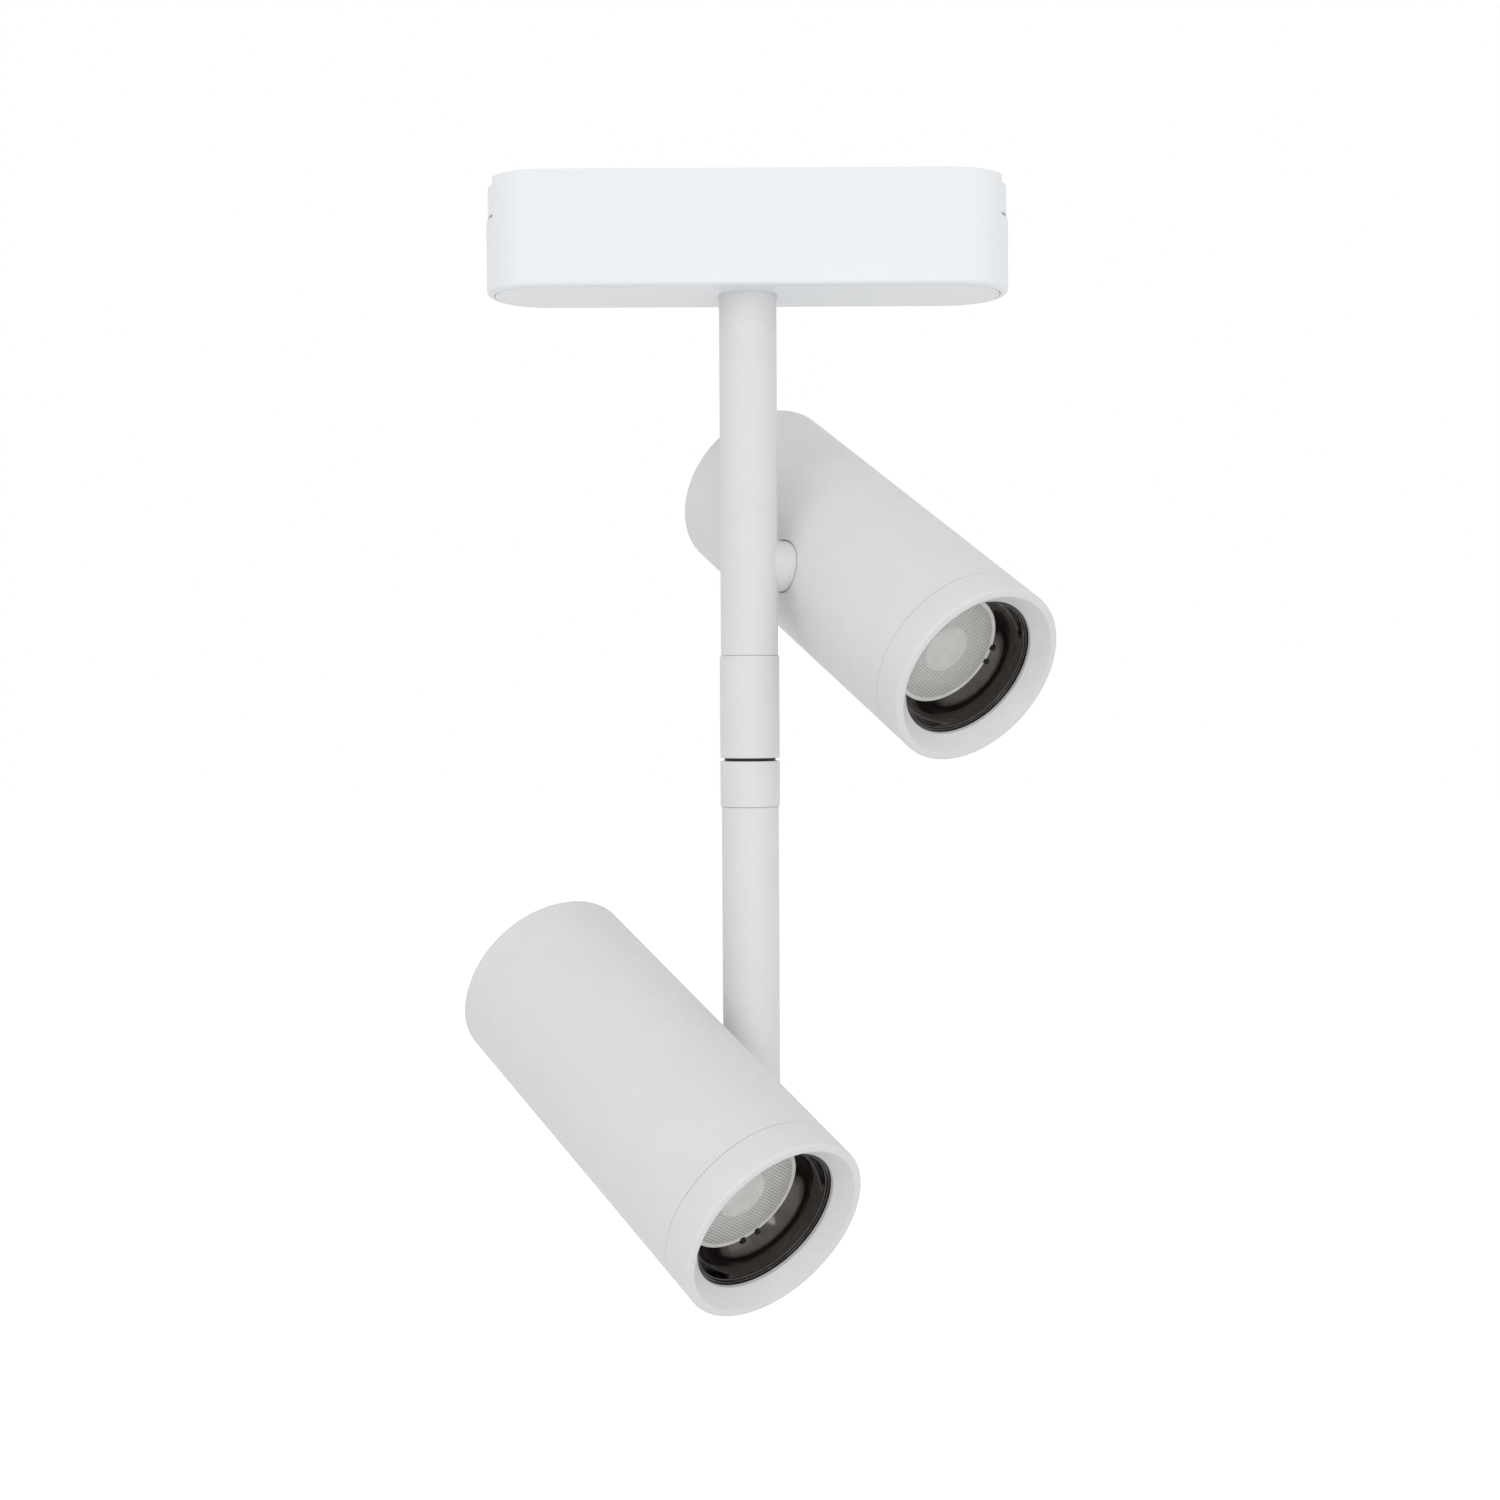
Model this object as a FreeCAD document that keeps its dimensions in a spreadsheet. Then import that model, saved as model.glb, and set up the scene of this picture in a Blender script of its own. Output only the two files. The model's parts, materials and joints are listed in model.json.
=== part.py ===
import FreeCAD, Part
import os
import re
import Sketcher
from FreeCAD import Placement, Rotation, Vector
from math import cos, pi, radians, sin

# Two-head spotlight for a slim low-voltage track. Frame: +X along the track, +Z up, millimetres.
# The origin is the centre of the adapter's top face, where the lamp meets its track, and the
# stem hangs down from it along -Z. Each head hangs beside the stem on a side boss.

# ---------------------------------------------------------------- driving dimensions
SIZES = {
    # adapter case
    "adapter_length": 136.0,
    "adapter_width": 31.0,
    "adapter_height": 29.5,
    "shell_wall": 2.0,
    "ledge_width": 1.2,
    "edge_round": 1.4,
    "cover_thickness": 2.5,
    "deck_recess": 2.0,
    "deck_thickness": 2.2,
    "fit_gap": 0.2,
    "boss_radius": 2.6,
    "screw_shank": 2.4,
    "screw_head": 4.4,
    "screw_head_height": 1.4,
    "pilot_depth": 1.5,
    "tool_reach": 60.0,
    # end latches
    "tab_width": 16.2,
    "tab_height": 7.6,
    "tab_drop": 1.9,
    "tab_thickness": 1.8,
    "tab_recess": 0.4,
    "tab_slit": 0.9,
    "tongue_width": 7.0,
    "tongue_length": 17.0,
    "tongue_thickness": 1.8,
    "claw_width": 4.6,
    "claw_length": 3.0,
    "claw_rise": 2.0,
    "latch_travel": 1.6,
    "latch_spring_length": 9.0,
    "rail_thickness": 1.5,
    "spring_wire": 0.5,
    # magnets and contacts
    "magnet_length": 24.0,
    "magnet_width": 11.0,
    "magnet_pocket": 0.8,
    "magnet_place": 29.0,
    "block_length": 22.0,
    "block_width": 12.0,
    "block_depth": 9.0,
    "block_flange": 1.5,
    "pin_spacing": 12.0,
    "pin_diameter": 2.4,
    "pin_rise": 1.0,
    "pin_travel": 0.9,
    "pin_length": 4.0,
    # driver
    "board_length": 92.0,
    "board_width": 19.0,
    "board_thickness": 1.6,
    "board_level": 12.6,
    "post_place": 42.0,
    "post_spread": 13.0,
    "post_radius": 2.3,
    "post_peg_radius": 1.0,
    "post_peg_rise": 0.6,
    "plate_post_radius": 3.0,
    "core_place": 28.0,
    "core_length": 15.0,
    "core_width": 13.0,
    "core_height": 9.5,
    "core_window": 6.0,
    "core_rail": 1.5,
    "winding_radius": 2.8,
    "winding_length": 12.0,
    "can_radius": 3.9,
    "can_height": 11.5,
    "package_length": 5.0,
    "package_width": 4.0,
    "package_height": 1.2,
    # stem
    "rod_diameter": 15.0,
    "rod_wall": 1.5,
    "collar_step": 0.3,
    "running_gap": 0.05,
    "seam_gap": 0.1,
    "plate_length": 38.0,
    "plate_thickness": 2.5,
    "plate_lift": 2.5,
    "insert_wall": 1.0,
    "nipple_wall": 1.5,
    "nipple_rise": 7.5,
    "insert_length": 14.0,
    "stop_reach": 11.4,
    "stop_washer_thickness": 0.8,
    "stop_tab_width": 1.5,
    "stop_peg_diameter": 1.6,
    "stem_nut_width": 15.0,
    "stem_nut_height": 4.0,
    "upper_pivot_drop": 70.0,
    "upper_seam_drop": 94.0,
    "swivel_drop": 120.6,
    "swivel_washer_thickness": 0.8,
    "swivel_washer_inset": 1.1,
    "lower_collar_length": 11.9,
    "spigot_length": 8.0,
    "spindle_space": 2.0,
    "spindle_wall": 1.75,
    "swivel_nut_clearance": 0.23,
    "swivel_nut_height": 4.0,
    "swivel_pin_diameter": 1.6,
    "swivel_slot_depth": 2.0,
    "swivel_stop_span": 11.5,
    "lower_pivot_drop": 203.0,
    "rod_tail": 12.0,
    "plug_disc": 1.5,
    "plug_length": 4.0,
    # heads
    "head_diameter": 50.0,
    "head_wall": 2.0,
    "head_rear": 50.0,
    "head_front": 58.0,
    "head_gap": 2.7,
    "cap_band": 1.4,
    "cap_chamfer": 1.1,
    "cap_spigot": 4.0,
    "cap_spigot_wall": 1.5,
    "bezel_length": 9.0,
    "bezel_rim": 1.3,
    "bezel_dish": 4.0,
    "bezel_lip": 1.0,
    "bezel_spigot": 6.0,
    "opening_diameter": 38.8,
    "reflector_depth": 10.0,
    "reflector_wall": 0.8,
    "reflector_flange": 1.1,
    "lens_diameter": 31.0,
    "lens_flange": 1.0,
    "lens_height": 9.6,
    "holder_wall": 2.0,
    "sink_disc": 6.0,
    "sink_core": 22.0,
    "sink_fins": 12.0,
    "sink_fin_thickness": 1.6,
    "led_diameter": 28.0,
    "led_thickness": 1.6,
    "chip_diameter": 8.0,
    "chip_thickness": 0.6,
    # tilt pivots
    "boss_step": 0.75,
    "boss_seam": 0.25,
    "boss_tenon": 8.0,
    "boss_neck": 8.0,
    "boss_bore": 4.0,
    "mount_depth": 5.0,
    "mount_width": 22.0,
    "mount_rear": 11.0,
    "tilt_washer_diameter": 22.0,
    "tilt_washer_thickness": 1.0,
    "tilt_peg_diameter": 1.6,
    "tilt_peg_place": 9.8,
    "tilt_range": 90.0,
    "tilt_stop_margin": 6.0,
    "mount_screw_spread": 5.0,
    "pivot_nut_width": 13.0,
    "pivot_nut_height": 3.5,
    # rest pose, degrees
    "upper_arm_angle": 36.6,
    "upper_tilt": 31.0,
    "lower_arm_angle": 219.5,
    "lower_tilt": 27.5,
}

# Places and sizes that follow from the driving dimensions. Levels are heights above the origin.
DERIVED = {
    "inner_length": "adapter_length - 2 * shell_wall",
    "inner_width": "adapter_width - 2 * shell_wall",
    "cavity_length": "inner_length - 2 * ledge_width",
    "cavity_width": "inner_width - 2 * ledge_width",
    "end_centre": "(adapter_length - adapter_width) / 2",
    "case_bottom": "-adapter_height",
    "cover_top": "case_bottom + cover_thickness",
    "deck_bottom": "-deck_recess - deck_thickness",
    "boss_spread": "cavity_width / 2 - boss_radius - fit_gap",
    "boss_foot": "(deck_bottom + cover_top) / 2",
    "notch_depth": "tab_drop + tab_height + tab_slit",
    "notch_width": "tab_width + 2 * fit_gap",
    "tab_bottom": "-tab_drop - tab_height",
    "tab_inner_radius": "adapter_width / 2 - tab_recess - tab_thickness",
    "tab_sag": "tab_inner_radius - sqrt(tab_inner_radius ^ 2 - tab_width ^ 2 / 4)",
    "tongue_top": "deck_bottom - fit_gap",
    "tongue_bottom": "tongue_top - tongue_thickness",
    "tongue_outer": "adapter_length / 2 - tab_recess - tab_thickness / 2",
    "tongue_inner": "tongue_outer - tongue_length",
    "claw_centre": "tongue_inner + claw_length / 2 + 3",
    "spring_radius": "tongue_thickness / 2 + 0.6",
    "spring_level": "tongue_bottom - spring_radius + 0.9",
    "block_bottom": "-block_depth",
    "pin_bottom": "pin_rise - pin_length",
    "board_bottom": "-board_level",
    "board_top": "board_bottom + board_thickness",
    "plate_bottom": "cover_top + plate_lift",
    "plate_top": "plate_bottom + plate_thickness",
    "plate_screw_place": "plate_length / 2 - 3.5",
    "rod_top": "plate_bottom - running_gap",
    "rod_bore": "rod_diameter - 2 * rod_wall",
    "collar_diameter": "rod_diameter + 2 * collar_step",
    "nipple_diameter": "rod_bore - 2 * insert_wall",
    "nipple_bore": "nipple_diameter - 2 * nipple_wall",
    "spindle_diameter": "rod_bore - 2 * spindle_space",
    "spindle_bore": "spindle_diameter - 2 * spindle_wall",
    "swivel_washer_diameter": "collar_diameter - 2 * swivel_washer_inset",
    "swivel_pin_place": "(spindle_diameter + swivel_washer_diameter) / 4 + 0.1",
    "swivel_nut_width": "(rod_bore - 2 * swivel_nut_clearance) * cos(30)",
    "boss_diameter": "rod_diameter - 2 * boss_step",
    "head_offset": "rod_diameter / 2 + head_gap + head_diameter / 2",
    "nut_bottom": "plate_top + stop_washer_thickness",
    "upper_pivot": "case_bottom - upper_pivot_drop",
    "upper_seam": "case_bottom - upper_seam_drop",
    "upper_collar_end": "case_bottom - swivel_drop",
    "lower_collar_top": "upper_collar_end - swivel_washer_thickness",
    "lower_seam": "lower_collar_top - lower_collar_length",
    "spigot_end": "lower_seam - spigot_length",
    "lower_pivot": "case_bottom - lower_pivot_drop",
    "rod_end": "lower_pivot - rod_tail",
    "head_radius": "head_diameter / 2",
    "head_bore": "head_radius - head_wall",
    "bezel_seat": "head_front - bezel_length",
    "dish_floor": "head_front - bezel_dish",
    "lip_back": "dish_floor - bezel_lip",
    "opening_radius": "opening_diameter / 2",
    "reflector_radius": "opening_radius - 0.2",
    "flange_radius": "reflector_radius + reflector_wall + reflector_flange",
    "reflector_rear": "lip_back - reflector_depth + 1",
    "reflector_end": "lens_diameter / 2 + 0.1",
    "lens_front": "reflector_rear + 0.2",
    "lens_seat": "reflector_rear - 1.8",
    "lens_rear": "lens_front - lens_height",
    "sink_front": "lens_rear - chip_thickness - led_thickness - 0.1",
    "sink_back": "sink_front - sink_disc",
    "sink_end": "6 - head_rear",
    "holder_radius": "lens_diameter / 2 + lens_flange + holder_wall",
    "wall_face": "head_offset - head_bore",
    "mount_face": "wall_face + mount_depth",
    "neck_end": "mount_face + running_gap + tilt_washer_thickness + pivot_nut_height + 0.8",
    "mount_screw_place": "head_bore - mount_depth / 2 - 0.4",
}

doc = FreeCAD.newDocument("TrackLight")
sheet = doc.addObject("Spreadsheet::Sheet", "Sizes")
for row, (alias, size) in enumerate(SIZES.items(), start=1):
    sheet.set(f"A{row}", alias)
    sheet.set(f"B{row}", str(size))
    sheet.setAlias(f"B{row}", alias)
doc.recompute()


# ---------------------------------------------------------------- building blocks
def formula(text):
    """Writes out a size text: derived names are expanded and sheet cells are named."""
    def swap(match):
        word = match.group(0)
        if word in DERIVED:
            return "(" + formula(DERIVED[word]) + ")"
        return "Sizes." + word if word in SIZES else word
    return re.sub(r"[a-z][a-z_]*", swap, str(text))


def number(text):
    """The present value of a size text."""
    return float(sheet.evalExpression(formula(text)))


def bind(thing, **sizes):
    for name, text in sizes.items():
        thing.setExpression(name, formula(text))
    return thing


def seat(thing, x=0, y=0, z=0):
    for name, text in zip("xyz", (x, y, z)):
        thing.setExpression("Placement.Base." + name, formula(text))
    return thing


TURNS = {
    "X": Rotation(Vector(0, 1, 0), 90),
    "Y": Rotation(Vector(1, 0, 0), -90),
    "Z": Rotation(),
}


def cylinder(radius, height, x=0, y=0, z=0, along="Z"):
    """A round bar that starts at the point given and runs along a positive axis."""
    bar = bind(doc.addObject("Part::Cylinder", "Bar"), Radius=radius, Height=height)
    bar.Placement = Placement(Vector(), TURNS[along])
    return seat(bar, x, y, z)


def box(length, width, height, x=0, y=0, z=0):
    """A block centred on x and y, standing on level z."""
    block = bind(doc.addObject("Part::Box", "Block"), Length=length, Width=width, Height=height)
    return seat(block, f"{x} - ({length}) / 2", f"{y} - ({width}) / 2", z)


def hexagon(width, height, z=0):
    """A hexagonal prism, width across its flats."""
    prism = doc.addObject("Part::Prism", "Hexagon")
    prism.Polygon = 6
    return seat(bind(prism, Circumradius=f"({width}) / 2 / cos(30)", Height=height), z=z)


def fuse(*pieces):
    joined = doc.addObject("Part::MultiFuse", "Joined")
    joined.Shapes = list(pieces)
    joined.Refine = True
    return joined


def cut(base, *tools):
    left = doc.addObject("Part::Cut", "Cut")
    left.Base = base
    left.Tool = tools[0] if len(tools) == 1 else fuse(*tools)
    left.Refine = True
    return left


def common(first, second):
    shared = doc.addObject("Part::Common", "Shared")
    shared.Base = first
    shared.Tool = second
    return shared


def group(*pieces):
    """Separate solids that make one sub-part."""
    bundle = doc.addObject("Part::Compound", "Group")
    bundle.Links = list(pieces)
    return bundle


def sketch_on(body, role):
    plane = next(item for item in body.Origin.OriginFeatures if item.Role == role)
    sketch = body.newObject("Sketcher::SketchObject", body.Name + "Sketch")
    sketch.AttachmentSupport = (plane, [""])
    sketch.MapMode = "FlatFace"
    return sketch


def stadium(length, width, height, z=0):
    """A body with straight sides and full-round ends, centred on the stem and standing on z."""
    body = doc.addObject("PartDesign::Body", "Stadium")
    outline = sketch_on(body, "XY_Plane")
    half = number(f"(({length}) - ({width})) / 2")
    side = number(f"({width}) / 2")
    front = Part.LineSegment(Vector(-half, -side), Vector(half, -side))
    right = Part.ArcOfCircle(Part.Circle(Vector(half, 0), Vector(0, 0, 1), side), -pi / 2, pi / 2)
    back = Part.LineSegment(Vector(half, side), Vector(-half, side))
    left = Part.ArcOfCircle(Part.Circle(Vector(-half, 0), Vector(0, 0, 1), side), pi / 2, 1.5 * pi)
    outline.addGeometry([front, right, back, left])
    for edge in range(4):
        outline.addConstraint(Sketcher.Constraint("Tangent", edge, 2, (edge + 1) % 4, 1))
    outline.addConstraint(Sketcher.Constraint("Horizontal", 0))
    outline.addConstraint(Sketcher.Constraint("PointOnObject", 1, 3, -1))
    outline.addConstraint(Sketcher.Constraint("Symmetric", 1, 3, 3, 3, -1, 1))
    spread = outline.addConstraint(Sketcher.Constraint("DistanceX", 3, 3, 1, 3, 2 * half))
    outline.setExpression(f"Constraints[{spread}]", formula(f"({length}) - ({width})"))
    radius = outline.addConstraint(Sketcher.Constraint("Radius", 1, side))
    outline.setExpression(f"Constraints[{radius}]", formula(f"({width}) / 2"))
    pad = body.newObject("PartDesign::Pad", body.Name + "Pad")
    pad.Profile = outline
    bind(pad, Length=height)
    return seat(body, z=z)


def turned(*profile):
    """A body turned about Z from a closed outline of (radius, level) corners."""
    body = doc.addObject("PartDesign::Body", "Turned")
    outline = sketch_on(body, "XZ_Plane")
    corners = [Vector(number(radius), number(level)) for radius, level in profile]
    for place, corner in enumerate(corners):
        outline.addGeometry(Part.LineSegment(corner, corners[(place + 1) % len(corners)]))
    for place, sizes in enumerate(profile):
        follower = (place + 1) % len(corners)
        outline.addConstraint(Sketcher.Constraint("Coincident", place, 2, follower, 1))
        for kind, text in zip(("DistanceX", "DistanceY"), sizes):
            held = Sketcher.Constraint(kind, -1, 1, place, 1, number(text))
            index = outline.addConstraint(held)
            outline.setExpression(f"Constraints[{index}]", formula(text))
    turn = body.newObject("PartDesign::Revolution", body.Name + "Turn")
    turn.Profile = outline
    turn.ReferenceAxis = (outline, ["V_Axis"])
    turn.Angle = 360
    return body


def ring(outer, inner, height, z=0):
    """A plain turned ring or tube between two radii."""
    top = f"{z} + ({height})"
    return turned((inner, z), (outer, z), (outer, top), (inner, top))


def coil(radius, wire, pitch, length):
    """A helical spring that stands on the origin along Z; radius is to the wire's centre."""
    helix = bind(doc.addObject("Part::Helix", "Coil"), Radius=radius, Pitch=pitch, Height=length)
    section = bind(doc.addObject("Part::Circle", "Wire"), Radius=f"({wire}) / 2")
    section.Placement = Placement(Vector(), Rotation(Vector(1, 0, 0), 90))
    seat(section, x=radius)
    sweep = doc.addObject("Part::Sweep", "Spring")
    sweep.Sections = [section]
    sweep.Spine = (helix, [])
    sweep.Solid = True
    sweep.Frenet = True
    return sweep


def screw(x, y, head_level, length, point_up=False):
    """A pan-head screw whose head stands on head_level; its shank runs down, or up."""
    start = head_level if point_up else f"{head_level} - ({length})"
    head = f"{head_level} - screw_head_height" if point_up else head_level
    shank = cylinder("screw_shank / 2", length, x, y, start)
    return fuse(shank, cylinder("screw_head / 2", "screw_head_height", x, y, head))


parts = {}


def placed(thing, placement):
    """Carries a piece built in a frame of its own to that frame's place."""
    carried = group(thing)
    carried.Placement = placement
    return carried


def keep(label, thing, placement=None):
    """Names a finished sub-part; one that was built in a frame of its own is placed first."""
    parts[label] = thing if placement is None else placed(thing, placement)
    parts[label].Label = label


def corners_of(x, y):
    return [(f"{side} * ({x})", f"{edge} * ({y})") for side in (-1, 1) for edge in (-1, 1)]


# ---------------------------------------------------------------- adapter case
def adapter_shell():
    """The outer sleeve: a stadium wall, stepped for the deck and cover, notched for the tabs."""
    outer = stadium("adapter_length", "adapter_width", "adapter_height", "case_bottom")
    doc.recompute()
    pad = outer.Tip
    base_edges = [
        f"Edge{place}" for place, edge in enumerate(pad.Shape.Edges, start=1)
        if edge.BoundBox.ZMax < outer.Shape.BoundBox.ZMin + 0.01 or edge.BoundBox.ZMax < 0.01
    ]
    fillet = outer.newObject("PartDesign::Fillet", "EdgeRound")
    fillet.Base = (pad, base_edges)
    bind(fillet, Radius="edge_round")
    top = stadium("inner_length", "inner_width", "deck_recess + deck_thickness + 1", "deck_bottom")
    low = stadium("inner_length", "inner_width", "cover_thickness + 1", "case_bottom - 1")
    core = stadium("cavity_length", "cavity_width", "adapter_height", "case_bottom")
    shell = cut(outer, top, low, core)
    pillars = []
    for x, y in corners_of("end_centre", "boss_spread"):
        pillar = cylinder("boss_radius + 0.6", "deck_bottom - boss_foot", x, y, "boss_foot")
        pillars.append(cut(pillar, cylinder("screw_shank / 2 + fit_gap", "tool_reach", x, y,
                                            "case_bottom")))
    notches = [
        box("shell_wall + 16", "notch_width", "notch_depth + 1",
            f"{side} * (adapter_length / 2)", 0, "-notch_depth")
        for side in (-1, 1)
    ]
    keep("adapter_shell", cut(fuse(shell, *pillars), *notches))


def bottom_cover():
    """The inset cover: posts carry the driver board, the stem plate and the case screws."""
    edge = "2 * fit_gap"
    plate = stadium(f"inner_length - {edge}", f"inner_width - {edge}", "cover_thickness",
                    "case_bottom")
    posts = []
    pilots = [cylinder("rod_diameter / 2 + seam_gap", "tool_reach", 0, 0, "case_bottom - 1")]
    for x, y in corners_of("end_centre", "boss_spread"):
        posts.append(cylinder("boss_radius", "boss_foot - cover_top", x, y, "cover_top"))
        pilots.append(cylinder("screw_shank / 2", "boss_foot - cover_top", x, y, "cover_top"))
    for x, y in corners_of("post_place", "post_spread / 2"):
        posts.append(cylinder("post_radius", "board_bottom - cover_top", x, y, "cover_top"))
        posts.append(cylinder("post_peg_radius", "board_top - cover_top + post_peg_rise", x, y,
                              "cover_top"))
    for side in (-1, 1):
        x = f"{side} * plate_screw_place"
        posts.append(cylinder("plate_post_radius", "plate_lift", x, 0, "cover_top"))
        pilots.append(cylinder("screw_shank / 2", "plate_lift + pilot_depth", x, 0,
                               "cover_top - pilot_depth"))
    keep("bottom_cover", cut(fuse(plate, *posts), *pilots))


def top_deck():
    """The carrier plate under the rim, with magnet pockets, claw slots and latch guides."""
    deck = stadium("inner_length - 2 * fit_gap", "inner_width - 2 * fit_gap", "deck_thickness",
                   "deck_bottom")
    holes = [box("block_length - 3", "block_width - 3", "tool_reach", 0, 0, "deck_bottom - 1")]
    rails = []
    for x, y in corners_of("end_centre", "boss_spread"):
        holes.append(cylinder("screw_shank / 2 + fit_gap", "tool_reach", x, y,
                              "deck_bottom - 1"))
    for side in (-1, 1):
        holes.append(box("magnet_length", "magnet_width", 5,
                         f"{side} * magnet_place", 0, "-deck_recess - magnet_pocket"))
        holes.append(box("2 * (tab_recess + tab_thickness + tab_sag + latch_travel + fit_gap)",
                         "notch_width", "tool_reach", f"{side} * adapter_length / 2", 0,
                         "deck_bottom - 1"))
        holes.append(box("claw_length + latch_travel + fit_gap", "claw_width + 2 * fit_gap",
                         "tool_reach", f"{side} * (claw_centre - (latch_travel - fit_gap) / 2)", 0,
                         "deck_bottom - 1"))
        for edge in (-1, 1):
            rails.append(box("tongue_length - 4", "rail_thickness", "tongue_thickness + 1",
                             f"{side} * (tongue_inner + (tongue_length - 4) / 2)",
                             f"{edge} * (tongue_width / 2 + fit_gap + rail_thickness / 2)",
                             "deck_bottom - tongue_thickness - 1"))
        rails.append(box("rail_thickness", "tongue_width", "tongue_thickness + 3",
                         f"{side} * (tongue_inner - latch_spring_length - rail_thickness / 2)", 0,
                         "deck_bottom - tongue_thickness - 3"))
    keep("top_deck", cut(fuse(deck, *rails), *holes))


def case_screws():
    """Four long screws that clamp deck, shell and cover together."""
    places = corners_of("end_centre", "boss_spread")
    length = "-deck_recess - boss_foot + 7"
    keep("case_screws", group(*[screw(x, y, "-deck_recess", length) for x, y in places]))


def magnets():
    """Two holding magnets, flush with the seating face."""
    keep("magnets", group(*[
        box("magnet_length - 0.2", "magnet_width - 0.2", "deck_recess + magnet_pocket",
            f"{side} * magnet_place", 0, "-deck_recess - magnet_pocket")
        for side in (-1, 1)
    ]))


def contacts():
    """An insulating block with two sprung pins that press on the track's conductors."""
    rim = box("block_length", "block_width", "deck_recess", 0, 0, "-deck_recess")
    body = box("block_length - 3.4", "block_width - 3.4", "block_depth", 0, 0, "block_bottom")
    bores = []
    pins = []
    springs = []
    shoulder = "pin_diameter / 2 + 0.6"
    for side in (-1, 1):
        x = f"{side} * pin_spacing / 2"
        bores.append(cylinder("pin_diameter / 2 + running_gap", "tool_reach", x, 0,
                              "-deck_recess"))
        bores.append(cylinder(f"{shoulder} + running_gap", "block_depth - block_flange - 1", x, 0,
                              "block_bottom + 1"))
        stem = cylinder("pin_diameter / 2", "pin_length", x, 0, "pin_bottom")
        foot = cylinder(shoulder, "-block_flange - pin_bottom", x, 0, "pin_bottom")
        pins.append(fuse(stem, foot))
        spring = coil("pin_diameter / 2 + 0.2", "spring_wire", 1.2, "pin_bottom - block_bottom - 1.4")
        spring.Placement = Placement(Vector(number(x), 0, number("block_bottom + 1.2")), Rotation())
        springs.append(spring)
    keep("contact_block", cut(fuse(rim, body), *bores))
    keep("contact_pins", group(*pins))
    keep("contact_springs", group(*springs))


def latch(side, name):
    """A release tab in the end notch, its tongue under the deck, its claw and its spring."""
    skin = cut(
        stadium("adapter_length - 2 * tab_recess", "adapter_width - 2 * tab_recess", "tab_height",
                "tab_bottom"),
        stadium("adapter_length - 2 * (tab_recess + tab_thickness)",
                "adapter_width - 2 * (tab_recess + tab_thickness)", "tab_height + 2",
                "tab_bottom - 1"),
    )
    tab = common(skin, box(30, "tab_width", "tab_height", f"{side} * adapter_length / 2", 0,
                           "tab_bottom"))
    tongue = box("tongue_length", "tongue_width", "tongue_thickness",
                 f"{side} * (tongue_inner + tongue_length / 2)", 0, "tongue_bottom")
    claw = box("claw_length", "claw_width", "claw_rise - tongue_bottom",
               f"{side} * claw_centre", 0, "tongue_bottom")
    nose = box("claw_length / 2", "claw_width", 1,
               f"{side} * (claw_centre + claw_length * 0.75)", 0, "claw_rise - 1")
    keep("latch_" + name, fuse(tab, tongue, claw, nose))
    spring = coil("spring_radius", "spring_wire", 1.5, "latch_spring_length - 0.6")
    heading = Rotation(Vector(0, 1, 0), -90 * side)
    start = Vector(side * number("tongue_inner - 0.3"), 0, number("spring_level"))
    keep("latch_spring_" + name, spring, Placement(start, heading))


# ---------------------------------------------------------------- driver
def driver():
    """The driver board on the cover's posts, with its coil, capacitors and chips."""
    board = box("board_length", "board_width", "board_thickness", 0, 0, "board_bottom")
    holes = [cylinder("post_peg_radius + 0.1", "tool_reach", x, y, "board_bottom - 1")
             for x, y in corners_of("post_place", "post_spread / 2")]
    keep("driver_board", cut(board, *holes))
    core = box("core_length", "core_width", "core_height", "core_place", 0,
               "board_bottom - core_height")
    window = box("core_length - core_window", "tool_reach", "core_window", "core_place", 0,
                 "board_bottom - core_height + core_rail")
    winding = cylinder("winding_radius", "winding_length", "core_place", "-winding_length / 2",
                       "board_bottom - core_height / 2 - 0.25", along="Y")
    keep("driver_coil", fuse(cut(core, window), winding))
    cans = [cylinder("can_radius", "can_height", x, 0, "board_bottom - can_height")
            for x in (-34, -25)]
    keep("driver_capacitors", group(*cans))
    chips = [box("package_length", "package_width", "package_height", x, 0, "board_top")
             for x in (-36, -20, 22, 36)]
    keep("driver_chips", group(*chips))


# ---------------------------------------------------------------- stem
def stem_plate():
    """The steel plate that carries the stem, with the fixed peg of the turn stop."""
    plate = box("plate_length", "cavity_width - 2 * fit_gap", "plate_thickness", 0, 0,
                "plate_bottom")
    holes = [cylinder("nipple_diameter / 2 + running_gap", "tool_reach", 0, 0,
                      "plate_bottom - 1")]
    for side in (-1, 1):
        holes.append(cylinder("screw_shank / 2 + fit_gap", "tool_reach",
                              f"{side} * plate_screw_place", 0, "plate_bottom - 1"))
    peg = cylinder("stop_peg_diameter / 2", "plate_thickness + stop_washer_thickness + 1.5", 0,
                   "stop_reach - stop_peg_diameter / 2", "plate_bottom")
    keep("stem_plate", fuse(cut(plate, *holes), peg))
    keep("plate_screws", group(*[
        screw(f"{side} * plate_screw_place", 0, "plate_top", "plate_thickness + plate_lift + pilot_depth")
        for side in (-1, 1)
    ]))


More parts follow.
